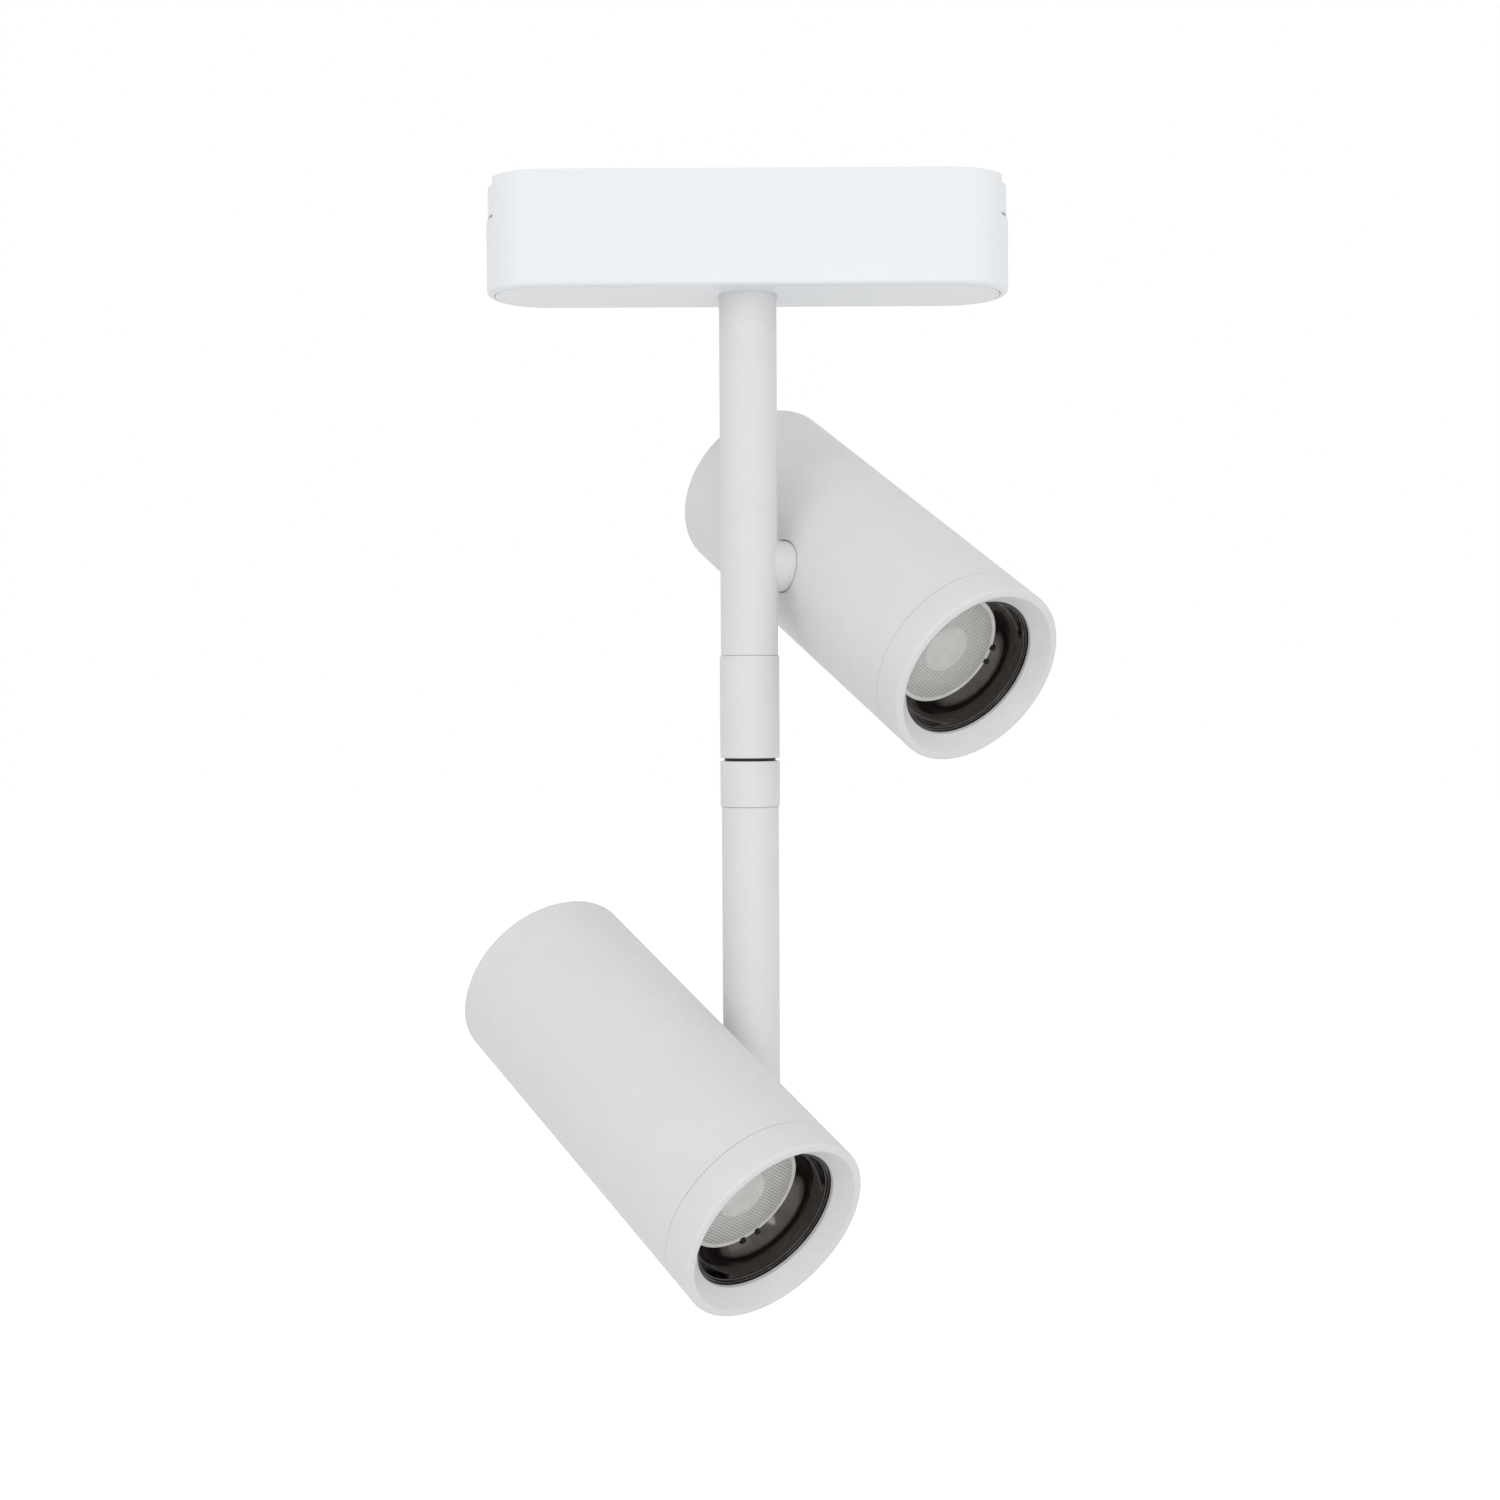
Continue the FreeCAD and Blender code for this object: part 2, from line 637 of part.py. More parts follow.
def stem_top():
    """The hollow threaded nipple that hangs the stem, with its stop washer and nut."""
    keep("rod_insert", ring("rod_bore / 2", "nipple_diameter / 2", "insert_length",
                            "rod_top - insert_length"))
    keep("stem_nipple", ring("nipple_diameter / 2", "nipple_bore / 2",
                             "plate_top + nipple_rise - rod_top + insert_length",
                             "rod_top - insert_length"))
    disc = ring("stem_nut_width / 2", "nipple_diameter / 2", "stop_washer_thickness", "plate_top")
    tab = box("stop_tab_width", "stop_reach - nipple_diameter / 2 - 0.5", "stop_washer_thickness",
              0, "-(stop_reach + nipple_diameter / 2 + 0.5) / 2", "plate_top")
    keep("stem_stop_washer", fuse(disc, tab))
    keep("stem_nut", cut(hexagon("stem_nut_width", "stem_nut_height", "nut_bottom"),
                         cylinder("nipple_diameter / 2", "tool_reach", 0, 0, "nut_bottom - 1")))


def arm(name):
    """The frame of a side boss: Z along the arm, away from the stem, and X up."""
    angle = radians(number(name + "_arm_angle"))
    out = Vector(cos(angle), sin(angle), 0)
    up = Vector(0, 0, 1)
    return Placement(Vector(0, 0, number(name + "_pivot")), Rotation(up, out.cross(up), out, "ZXY"))


def rod(label, top, bottom, side_hole):
    tube = ring("rod_diameter / 2", "rod_bore / 2", f"({top}) - ({bottom})", bottom)
    hole = placed(cylinder("boss_tenon / 2", "rod_diameter"), arm(side_hole))
    keep(label, cut(tube, hole))


def rods():
    rod("upper_rod", "rod_top", "upper_seam", "upper")
    rod("lower_rod", "lower_seam", "rod_end + plug_disc", "lower")
    keep("rod_end_plug", turned(
        (0, "rod_end"), ("rod_diameter / 2 - 0.4", "rod_end"),
        ("rod_diameter / 2", "rod_end + 0.4"), ("rod_diameter / 2", "rod_end + plug_disc"),
        ("rod_bore / 2", "rod_end + plug_disc"),
        ("rod_bore / 2", "rod_end + plug_disc + plug_length"),
        (0, "rod_end + plug_disc + plug_length")))


def swivel():
    """The mid joint: two collars on a hollow spindle, a friction washer and a turn stop."""
    shaft = "spindle_diameter / 2"
    bearing = "spindle_diameter / 2 + running_gap"
    collar = "collar_diameter / 2"
    upper = turned(
        (shaft, "upper_collar_end"), (collar, "upper_collar_end"), (collar, "upper_seam"),
        ("rod_bore / 2", "upper_seam"), ("rod_bore / 2", "upper_seam + spigot_length"),
        (shaft, "upper_seam + spigot_length"))
    pin_hole = cylinder("swivel_pin_diameter / 2", 3, 0, "swivel_pin_place", "upper_collar_end")
    keep("upper_collar", cut(upper, pin_hole))
    lower = turned(
        (bearing, "spigot_end"), ("rod_bore / 2", "spigot_end"), ("rod_bore / 2", "lower_seam"),
        (collar, "lower_seam"), (collar, "lower_collar_top"), (bearing, "lower_collar_top"))
    reach = "swivel_pin_diameter / 2 + running_gap"
    slot = cut(cylinder(f"swivel_pin_place + {reach}", "swivel_slot_depth + 1", 0, 0,
                        "lower_collar_top - swivel_slot_depth"),
               cylinder(f"swivel_pin_place - ({reach})", 10, 0, 0, "lower_collar_top - 5"))
    wedge = cylinder("collar_diameter / 2", "swivel_slot_depth", 0, 0,
                     "lower_collar_top - swivel_slot_depth")
    bind(wedge, Angle="swivel_stop_span")
    wedge.Placement = Placement(
        wedge.Placement.Base, Rotation(Vector(0, 0, 1), -90 - number("swivel_stop_span / 2")))
    keep("lower_collar", cut(lower, cut(slot, wedge)))
    keep("swivel_spindle", ring(shaft, "spindle_bore / 2",
                                "upper_seam + spigot_length - spigot_end + swivel_nut_height + 1",
                                "spigot_end - swivel_nut_height - 1"))
    washer = ring("swivel_washer_diameter / 2", shaft, "swivel_washer_thickness",
                  "lower_collar_top")
    keep("swivel_washer", cut(washer, cylinder("swivel_pin_diameter / 2", 5, 0,
                                               "swivel_pin_place", "lower_collar_top - 1")))
    keep("swivel_stop_pin", cylinder("swivel_pin_diameter / 2",
                                     "3 + swivel_washer_thickness + swivel_slot_depth - 0.3", 0,
                                     "swivel_pin_place",
                                     "lower_collar_top - swivel_slot_depth + 0.3"))
    keep("swivel_nut", cut(hexagon("swivel_nut_width", "swivel_nut_height",
                                   "spigot_end - swivel_nut_height - running_gap"),
                           cylinder(shaft, "tool_reach", 0, 0, "spigot_end - 10")))


# ---------------------------------------------------------------- side bosses and tilt pivots
def pivot(name, notch_start):
    """A side boss on the stem, with the washer that limits the tilt and the nut that clamps."""
    body = fuse(
        cut(cylinder("boss_diameter / 2", "mount_face + running_gap"), rod_saddle()),
        cylinder("boss_tenon / 2", "rod_diameter / 2 - rod_bore / 2 + 1.5", 0, 0,
                 "rod_bore / 2 - 0.5"),
        cylinder("boss_neck / 2", "neck_end - rod_diameter / 2", 0, 0, "rod_diameter / 2"))
    keep(name + "_pivot_boss", cut(body, cylinder("boss_bore / 2", "tool_reach")), arm(name))
    notch = cut(cylinder("tilt_washer_diameter", 5, 0, 0, "mount_face - 1"),
                cylinder("tilt_peg_place - tilt_peg_diameter / 2 - 0.3", 10, 0, 0,
                         "mount_face - 3"))
    sector = bind(cylinder("tilt_washer_diameter", 5, 0, 0, "mount_face - 1"),
                  Angle="tilt_range + 2 * tilt_stop_margin")
    sector.Placement = Placement(sector.Placement.Base,
                                 Rotation(Vector(0, 0, 1), notch_start - number("tilt_stop_margin")))
    washer = ring("tilt_washer_diameter / 2", "boss_neck / 2", "tilt_washer_thickness",
                  "mount_face + running_gap")
    keep(name + "_tilt_washer", cut(washer, common(notch, sector)), arm(name))
    level = "mount_face + running_gap + tilt_washer_thickness"
    keep(name + "_pivot_nut", cut(hexagon("pivot_nut_width", "pivot_nut_height", level),
                                  cylinder("boss_neck / 2", "tool_reach")), arm(name))


def rod_saddle():
    """The stem's own round, lying across a boss so that the boss meets it all the way round."""
    return cylinder("rod_diameter / 2", "tool_reach", "-tool_reach / 2", 0, 0, along="X")


# ---------------------------------------------------------------- heads
def head_frame(name, turn):
    """The frame of a head: Z along the beam, X from the head's axis towards the stem."""
    angle = radians(number(name + "_arm_angle"))
    tilt = radians(number(name + "_tilt"))
    out = Vector(cos(angle), sin(angle), 0)
    level = Vector(-turn * sin(angle), turn * cos(angle), 0)
    beam = level * cos(tilt) - Vector(0, 0, 1) * sin(tilt)
    centre = out * number("head_offset") + Vector(0, 0, number(name + "_pivot"))
    return Placement(centre, Rotation(-out, beam.cross(-out), beam, "ZXY"))


def head_case(name, place):
    """The tube, its rear cap and the dished front bezel."""
    tube = ring("head_radius", "head_bore", "bezel_seat + head_rear - cap_band",
                "cap_band - head_rear")
    hole = cylinder("boss_diameter / 2 + boss_seam", "tool_reach", along="X")
    keep(name + "_housing", cut(tube, hole), place)
    keep(name + "_rear_cap", turned(
        (0, "-head_rear"), ("head_radius - cap_chamfer", "-head_rear"),
        ("head_radius", "cap_chamfer - head_rear"), ("head_radius", "cap_band - head_rear"),
        ("head_bore", "cap_band - head_rear"), ("head_bore", "cap_band - head_rear + cap_spigot"),
        ("head_bore - cap_spigot_wall", "cap_band - head_rear + cap_spigot"),
        ("head_bore - cap_spigot_wall", "cap_band - head_rear"), (0, "cap_band - head_rear")), place)
    keep(name + "_bezel", turned(
        ("flange_radius + 0.1", "bezel_seat - bezel_spigot"),
        ("head_bore", "bezel_seat - bezel_spigot"), ("head_bore", "bezel_seat"),
        ("head_radius", "bezel_seat"), ("head_radius", "head_front - 0.4"),
        ("head_radius - 0.4", "head_front"), ("head_radius - bezel_rim", "head_front"),
        ("opening_radius", "dish_floor"), ("opening_radius", "lip_back"),
        ("flange_radius + 0.1", "lip_back")), place)


def optics(name, place):
    """The dark reflector cone, the lens behind it and the ring that holds the lens."""
    cone = turned(
        ("reflector_radius", "lip_back"), ("reflector_end", "reflector_rear"),
        ("reflector_end + reflector_wall", "reflector_rear"),
        ("reflector_radius + reflector_wall", "lip_back - 1"),
        ("flange_radius", "lip_back - 1"), ("flange_radius", "lip_back"))
    notches = [box(1.6, 4, 1.2, 0, f"{side} * (reflector_end + 1)", "reflector_rear")
               for side in (-1, 1)]
    keep(name + "_reflector", cut(cone, *notches), place)
    keep(name + "_lens", turned(
        (0, "lens_rear + 3"), ("chip_diameter / 2 + 0.6", "lens_rear + 2.4"),
        ("chip_diameter / 2 + 0.6", "lens_rear"), ("chip_diameter / 2 + 1.8", "lens_rear"),
        ("lens_diameter / 2 - 0.4", "lens_seat"), ("lens_diameter / 2 + lens_flange", "lens_seat"),
        ("lens_diameter / 2 + lens_flange", "reflector_rear - 0.1"),
        ("lens_diameter / 2", "reflector_rear - 0.1"), ("lens_diameter / 2", "lens_front"),
        (0, "lens_front")), place)
    bore = "lens_diameter / 2 + lens_flange + 0.1"
    keep(name + "_lens_holder", turned(
        (bore, "sink_front"), ("holder_radius", "sink_front"),
        ("holder_radius", "reflector_rear - 0.1"), (bore, "reflector_rear - 0.1"),
        (bore, "lens_seat"), ("lens_diameter / 2 - 0.2", "lens_seat"),
        ("lens_diameter / 2 - 0.2", "lens_seat - 1"), (bore, "lens_seat - 1")), place)


def light_engine(name, place):
    """The lamp module and the finned heat sink that carries it."""
    board = cylinder("led_diameter / 2", "led_thickness", 0, 0, "sink_front")
    keep(name + "_led_board", board, place)
    chip = cylinder("chip_diameter / 2", "chip_thickness", 0, 0, "sink_front + led_thickness")
    keep(name + "_led_chip", chip, place)
    disc = cylinder("head_bore - 0.1", "sink_disc", 0, 0, "sink_back")
    core = cylinder("sink_core / 2", "sink_back - sink_end", 0, 0, "sink_end")
    fins = []
    for place_number in range(int(number("sink_fins"))):
        fin = bind(doc.addObject("Part::Box", "Fin"), Length="head_bore - 1.2 - sink_core / 2 + 1",
                   Width="sink_fin_thickness", Height="-mount_rear - 1.5 - sink_end")
        angle = 360 / number("sink_fins") * (place_number + 0.5)
        turn = Rotation(Vector(0, 0, 1), angle)
        start = Vector(number("sink_core / 2 - 1"), -number("sink_fin_thickness") / 2, 0)
        fin.Placement = Placement(turn.multVec(start) + Vector(0, 0, number("sink_end")), turn)
        fins.append(fin)
    pilots = [cylinder("screw_shank / 2 + fit_gap", "tool_reach", "mount_screw_place",
                       f"{edge} * mount_screw_spread", "sink_back - 1") for edge in (-1, 1)]
    keep(name + "_heat_sink", cut(fuse(disc, core, *fins), *pilots), place)


def tilt_mount(name, place):
    """The bearing block inside the tube wall that the side boss passes through."""
    curve = cylinder("head_bore", "mount_rear + sink_back", 0, 0, "-mount_rear")
    slab = box("mount_depth", "mount_width", "mount_rear + sink_back",
               "head_bore - mount_depth / 2", 0, "-mount_rear")
    bore = cylinder("boss_diameter / 2 + running_gap", "tool_reach", along="X")
    pilots = [cylinder("screw_shank / 2", 8, "mount_screw_place",
                       f"{edge} * mount_screw_spread", "sink_back - 7") for edge in (-1, 1)]
    peg = cylinder("tilt_peg_diameter / 2", "tilt_washer_thickness + 2",
                   "head_bore - mount_depth - tilt_washer_thickness", 0, "-tilt_peg_place",
                   along="X")
    keep(name + "_pivot_mount", fuse(cut(common(curve, slab), bore, *pilots), peg), place)
    keep(name + "_mount_screws", group(*[
        screw("mount_screw_place", f"{edge} * mount_screw_spread", "sink_front", "sink_disc + 6")
        for edge in (-1, 1)
    ]), place)


adapter_shell()
bottom_cover()
top_deck()
case_screws()
magnets()
contacts()
latch(-1, "left")
latch(1, "right")
driver()
stem_plate()
stem_top()
rods()
swivel()
pivot("upper", -90)
pivot("lower", 0)
for head, way in (("upper", -1), ("lower", 1)):
    frame = head_frame(head, way)
    head_case(head, frame)
    optics(head, frame)
    light_engine(head, frame)
    tilt_mount(head, frame)

# ---------------------------------------------------------------- check and write
doc.recompute()
for item in doc.Objects:
    if "Invalid" in item.State or "Error" in item.State:
        raise RuntimeError(f"{item.Name} ({item.Label}) failed: {item.State}")
os.makedirs("parts", exist_ok=True)
for label, item in parts.items():
    if item.Shape.isNull() or not item.Shape.isValid() or not item.Shape.Solids:
        raise RuntimeError(f"{label} has no valid solid")
    item.Shape.exportStep(f"parts/{label}.step")
    box_size = item.Shape.BoundBox
    print(f"{label}: {len(item.Shape.Solids)} solid(s), {item.Shape.Volume:.1f} mm3, "
          f"z {box_size.ZMin:.2f} to {box_size.ZMax:.2f}")
print(len(parts), "sub-parts written")
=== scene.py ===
import json
from math import asin, cos, pi, radians, sin

import bmesh
import bpy
import numpy as np
from mathutils import Matrix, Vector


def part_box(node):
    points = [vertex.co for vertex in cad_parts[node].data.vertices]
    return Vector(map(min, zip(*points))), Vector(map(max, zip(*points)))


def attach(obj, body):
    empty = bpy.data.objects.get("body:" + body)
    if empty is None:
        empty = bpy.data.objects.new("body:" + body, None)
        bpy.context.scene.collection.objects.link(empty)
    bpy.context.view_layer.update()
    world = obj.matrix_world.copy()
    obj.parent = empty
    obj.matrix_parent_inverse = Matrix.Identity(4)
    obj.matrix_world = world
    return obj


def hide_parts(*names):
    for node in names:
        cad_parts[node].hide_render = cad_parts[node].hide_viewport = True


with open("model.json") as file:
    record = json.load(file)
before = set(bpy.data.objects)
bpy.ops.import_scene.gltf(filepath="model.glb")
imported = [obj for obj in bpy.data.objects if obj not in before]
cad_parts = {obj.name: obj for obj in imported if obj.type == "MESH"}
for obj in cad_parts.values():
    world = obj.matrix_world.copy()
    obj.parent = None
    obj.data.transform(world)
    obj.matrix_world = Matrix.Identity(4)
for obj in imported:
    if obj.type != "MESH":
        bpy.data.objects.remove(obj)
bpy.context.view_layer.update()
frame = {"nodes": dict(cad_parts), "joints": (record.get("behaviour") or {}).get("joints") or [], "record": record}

# Looks of a two-head track spotlight: a stadium adapter, a swivelling stem and two tilting heads.
# Shapes are worked out in millimetres, as functions of two parameters, and written in metres.
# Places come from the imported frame: node boxes, node points and the joints of the two heads.

MM = 0.001
WELD = 0.002


# ---------------------------------------------------------------- reading the frame
def span(node):
    """Lowest and highest corner of a CAD node, in millimetres."""
    low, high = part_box(node)
    return np.array(low) / MM, np.array(high) / MM


def mesh_points(mesh):
    """Every vertex of a mesh, in millimetres."""
    flat = np.empty(len(mesh.vertices) * 3)
    mesh.vertices.foreach_get("co", flat)
    return flat.reshape(-1, 3) / MM


def points_of(node):
    """Every vertex of a CAD node, in millimetres."""
    return mesh_points(frame["nodes"][node].data)


def joint(name):
    return next(item for item in frame["joints"] if item["name"] == name)


class Place:
    """A frame of its own: the columns of turn are its axes, and origin is where it sits."""

    def __init__(self, turn=np.eye(3), origin=(0.0, 0.0, 0.0)):
        self.turn = np.array(turn, float)
        self.origin = np.array(origin, float)

    def carry(self, points):
        return points @ self.turn.T + self.origin

    def bring_back(self, points):
        return (points - self.origin) @ self.turn


def arm_place(name):
    """Z along a side boss away from the stem, X up; the origin lies on the stem's axis."""
    centre = np.array(joint(name + "_head_tilt")["pos_m"]) / MM
    out = np.array([centre[0], centre[1], 0]) / np.hypot(centre[0], centre[1])
    up = np.array([0.0, 0.0, 1.0])
    return Place(np.stack([up, np.cross(out, up), out], -1), (0, 0, centre[2]))


def head_place(name):
    """Z along the beam and X towards the stem: beam = cos(tilt) level - sin(tilt) up."""
    tilt_joint = joint(name + "_head_tilt")
    centre = np.array(tilt_joint["pos_m"]) / MM
    tilt = radians(-tilt_joint["range_deg"][0])
    up = np.array([0.0, 0.0, 1.0])
    beam = cos(tilt) * np.cross(-up, tilt_joint["axis"]) - sin(tilt) * up
    inward = -np.array([centre[0], centre[1], 0]) / np.hypot(centre[0], centre[1])
    return Place(np.stack([inward, np.cross(beam, inward), beam], -1), centre)


# ---------------------------------------------------------------- surfaces
def patch(grid, ring=False):
    """The quads of a grid of points; a ring joins its last column to its first."""
    rows, columns = grid.shape[:2]
    first = np.arange(rows - 1)[:, None] * columns
    here = np.arange(columns if ring else columns - 1)
    there = (here + 1) % columns
    corners = [first + here, first + there, first + columns + there, first + columns + here]
    return grid.reshape(-1, 3), np.stack(corners, -1).reshape(-1, 4)


def panel(outline_points):
    """One flat face inside a closed outline."""
    return outline_points, np.arange(len(outline_points))[None]


def outline(*corners, steps=6):
    """A closed outline through (radius, level, round) corners.

    A corner with a round becomes an arc of that radius, tangent to both its runs: its centre
    lies on the bisector, round / sin(half the corner's angle) from the corner.
    """
    corner_points = np.array([corner[:2] for corner in corners], float)
    stretches = []
    for place, corner in enumerate(corners):
        here = corner_points[place]
        if len(corner) == 2:
            stretches.append(here[None])
            continue
        back = corner_points[place - 1] - here
        ahead = corner_points[(place + 1) % len(corners)] - here
        back, ahead = back / np.linalg.norm(back), ahead / np.linalg.norm(ahead)
        half = np.arccos(back @ ahead) / 2
        bisector = (back + ahead) / np.linalg.norm(back + ahead)
        centre = here + bisector * corner[2] / sin(half)
        reach = corner[2] / np.tan(half)
        start, end = here + back * reach - centre, here + ahead * reach - centre
        sweep = pi - 2 * half
        share = np.linspace(0, 1, steps + 1)[:, None]
        arc = (np.sin((1 - share) * sweep) * start + np.sin(share * sweep) * end) / sin(sweep)
        stretches.append(centre + arc)
    return np.concatenate(stretches)


def closed(section):
    """Repeats an outline's first point at its end."""
    return np.concatenate([section, section[:1]])


def turned(section, columns=160):
    """Carries a (radius, level) section round Z: x = r cos a, y = r sin a, z = level."""
    angle = np.linspace(0, 2 * pi, columns, endpoint=False)
    radius, level = section[:, :1], section[:, 1:]
    grid = [radius * np.cos(angle), radius * np.sin(angle), level + 0 * angle]
    return patch(np.stack(grid, -1), ring=True)


def mesh_of(name, patches, place, smooth_below):
    """Joins patches into one mesh in metres, merges their shared points and faces it outwards."""
    points, faces, count = [], [], 0
    for corners, polygons in patches:
        points.append(corners)
        faces += (polygons + count).tolist()
        count += len(corners)
    mesh = bpy.data.meshes.new(name)
    mesh.from_pydata(place.carry(np.concatenate(points)) * MM, [], faces)
    shell = bmesh.new()
    shell.from_mesh(mesh)
    bmesh.ops.remove_doubles(shell, verts=shell.verts, dist=WELD * MM)
    bmesh.ops.recalc_face_normals(shell, faces=shell.faces)
    shell.to_mesh(mesh)
    shell.free()
    mesh.shade_smooth()
    mesh.set_sharp_from_angle(angle=radians(smooth_below))
    return mesh


def seat(name, mesh, body, finish, replaced, edge=0.0):
    """Makes a piece of a mesh: its finish, its body, the CAD nodes it stands for, its edges."""
    thing = bpy.data.objects.new(name, mesh)
    bpy.context.scene.collection.objects.link(thing)
    mesh.materials.clear()
    mesh.materials.append(finish)
    if edge:
        bevel = thing.modifiers.new("EdgeRound", "BEVEL")
        bevel.width = edge * MM
        bevel.segments = 2
        bevel.limit_method = "ANGLE"
        bevel.angle_limit = radians(35)
        bevel.harden_normals = True
    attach(thing, body)
    if replaced:
        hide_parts(*replaced)
    return thing


def piece(name, patches, body, finish, slot, *replaced, place=Place(), edge=0.0, smooth_below=32):
    mesh = mesh_of(name, patches, place, smooth_below)
    return seat(name, mesh, body, finish, replaced, edge)


def refined(name, node, body, finish, edge):
    """A copy of a CAD node with its loose triangles merged, flat faces whole and edges eased."""
    mesh = frame["nodes"][node].data.copy()
    mesh.name = name
    shell = bmesh.new()
    shell.from_mesh(mesh)
    bmesh.ops.remove_doubles(shell, verts=shell.verts, dist=WELD * MM)
    bmesh.ops.dissolve_limit(
        shell, angle_limit=radians(1), verts=shell.verts, edges=shell.edges)
    shell.to_mesh(mesh)
    shell.free()
    mesh.shade_smooth()
    mesh.set_sharp_from_angle(angle=radians(32))
    return seat(name, mesh, body, finish, (node,), edge)


# ---------------------------------------------------------------- finishes
SOCKETS = {"specular_ior_level": "Specular IOR Level"}


def socket_name(word):
    """The socket a keyword stands for: base_color is Base Color."""
    return SOCKETS.get(word, word.replace("_", " ").title())


class Finish:
    """A Principled surface; patterns read Object coordinates, so they stay on their piece."""

    def __init__(self, name, **constants):
        self.material = bpy.data.materials.new(name)
        self.material.use_nodes = True
        self.tree = self.material.node_tree
        self.shader = self.tree.nodes["Principled BSDF"]
        for socket, value in constants.items():
            self.shader.inputs[socket_name(socket)].default_value = value
        self.here = self.add("ShaderNodeTexCoord").outputs["Object"]

    def add(self, kind, **inputs):
        node = self.tree.nodes.new(kind)
        for socket, value in inputs.items():
            self.feed(node.inputs[socket_name(socket)], value)
        return node

    def feed(self, socket, value):
        if isinstance(value, bpy.types.NodeSocket):
            self.tree.links.new(value, socket)
        else:
            socket.default_value = value

    def stretched(self, x=1.0, y=1.0, z=1.0):
        """Object coordinates drawn out along an axis by a factor below one."""
        return self.add("ShaderNodeMapping", vector=self.here, scale=(x, y, z)).outputs[0]

    def noise(self, size, detail=2.0, where=None):
        """Soft noise, 0 to 1, whose lumps are about size millimetres."""
        return self.add("ShaderNodeTexNoise", vector=where or self.here, scale=1 / (size * MM),
                        detail=detail).outputs[0]

    def cells(self, size, where=None):
        """Distance from the middle of random cells of about size millimetres."""
        return self.add("ShaderNodeTexVoronoi", vector=where or self.here,
                        scale=1 / (size * MM)).outputs["Distance"]

    def ramp(self, share, *stops):
        """Colours at positions: (position, colour), ..."""
        node = self.add("ShaderNodeValToRGB", fac=share)
        stretch = node.color_ramp.elements
        while len(stretch) < len(stops):
            stretch.new(0.5)
        for element, (position, colour) in zip(stretch, stops):
            element.position = position
            element.color = (*colour, 1)
        return node.outputs[0]

    def swing(self, share, low, high):
        """Maps 0.3 to 0.7 of a noise to low to high."""
        node = self.add("ShaderNodeMapRange", value=share)
        for place, value in enumerate((0.3, 0.7, low, high), start=1):
            node.inputs[place].default_value = value
        return node.outputs[0]

    def colour(self, source):
        self.feed(self.shader.inputs["Base Color"], source)
        return self

    def roughness(self, source):
        self.feed(self.shader.inputs["Roughness"], source)
        return self

    def relief(self, *layers):
        """Each layer is (height pattern, depth in millimetres)."""
        below = None
        for height, depth in layers:
            bump = self.add("ShaderNodeBump", height=height, distance=depth * MM)
            if below:
                self.feed(bump.inputs["Normal"], below)
            below = bump.outputs[0]
        self.feed(self.shader.inputs["Normal"], below)
        return self


def grey(level, warmth=0.0):
    """A near-neutral colour; warmth shifts it from blue to yellow."""
    return (level * (1 + warmth), level, level * (1 - warmth))


def drift(finish, level, depth, size, warmth=0.0):
    """A shade that wanders by depth over size millimetres."""
    wander = finish.noise(size)
    return finish.ramp(wander, (0.25, grey(level * (1 - depth), warmth)),
                       (0.75, grey(level * (1 + depth), warmth)))


def powder_coat():
    """Fine orange-peel paint: soft lumps half a millimetre wide under a finer tooth."""
    paint = Finish("PowderCoat", specular_ior_level=0.42)
    paint.colour(drift(paint, 0.738, 0.014, 9, -0.012))
    paint.roughness(paint.swing(paint.noise(0.6), 0.44, 0.56))
    return paint.relief((paint.noise(0.9), 0.11), (paint.noise(0.35), 0.045)).material


def satin_plastic():
    """Moulded case plastic: nearly smooth, with a slow flow mottle and a faint fine tooth."""
    plastic = Finish("SatinPlastic", specular_ior_level=0.45)
    plastic.colour(drift(plastic, 0.862, 0.006, 14, -0.024))
    plastic.roughness(plastic.swing(plastic.noise(1.4), 0.34, 0.42))
    return plastic.relief((plastic.noise(3.0), 0.006), (plastic.noise(0.12), 0.0025)).material


def inner_plastic():
    """Unpolished moulding of the inner deck: a touch darker, with a coarser tooth."""
    plastic = Finish("InnerPlastic", specular_ior_level=0.4)
    plastic.colour(drift(plastic, 0.70, 0.02, 6, 0.004))
    plastic.roughness(plastic.swing(plastic.noise(0.8), 0.5, 0.62))
    return plastic.relief((plastic.noise(0.3), 0.01)).material


def black_plastic():
    plastic = Finish("BlackPlastic", specular_ior_level=0.45)
    plastic.colour(drift(plastic, 0.022, 0.15, 3))
    plastic.roughness(plastic.swing(plastic.noise(0.5), 0.42, 0.58))
    return plastic.relief((plastic.noise(0.2), 0.008)).material


def dark_nylon():
    nylon = Finish("DarkNylon", specular_ior_level=0.35)
    nylon.colour(drift(nylon, 0.012, 0.2, 2))
    nylon.roughness(nylon.swing(nylon.noise(0.4), 0.5, 0.66))
    return nylon.relief((nylon.noise(0.3), 0.008)).material


def black_chrome():
    """Dark warm plating on a spun cone: highlights are drawn out along the cone's slope.

    The piece's own slope attribute is that direction, in object coordinates.
    """
    plating = Finish("BlackChrome", metallic=1.0, anisotropic=0.88)
    slope = plating.add("ShaderNodeAttribute")
    slope.attribute_name = "slope"
    turn = plating.add("ShaderNodeVectorTransform", vector=slope.outputs["Vector"])
    turn.vector_type = "VECTOR"
    turn.convert_from = "OBJECT"
    turn.convert_to = "WORLD"
    plating.feed(plating.shader.inputs["Tangent"], turn.outputs[0])
    haze = plating.noise(2.5)
    dull, bright = (0.066, 0.059, 0.056), (0.086, 0.076, 0.072)
    plating.colour(plating.ramp(haze, (0.25, dull), (0.75, bright)))
    plating.roughness(plating.swing(plating.noise(1.2), 0.07, 0.10))
    return plating.relief((plating.noise(2.4), 0.002)).material


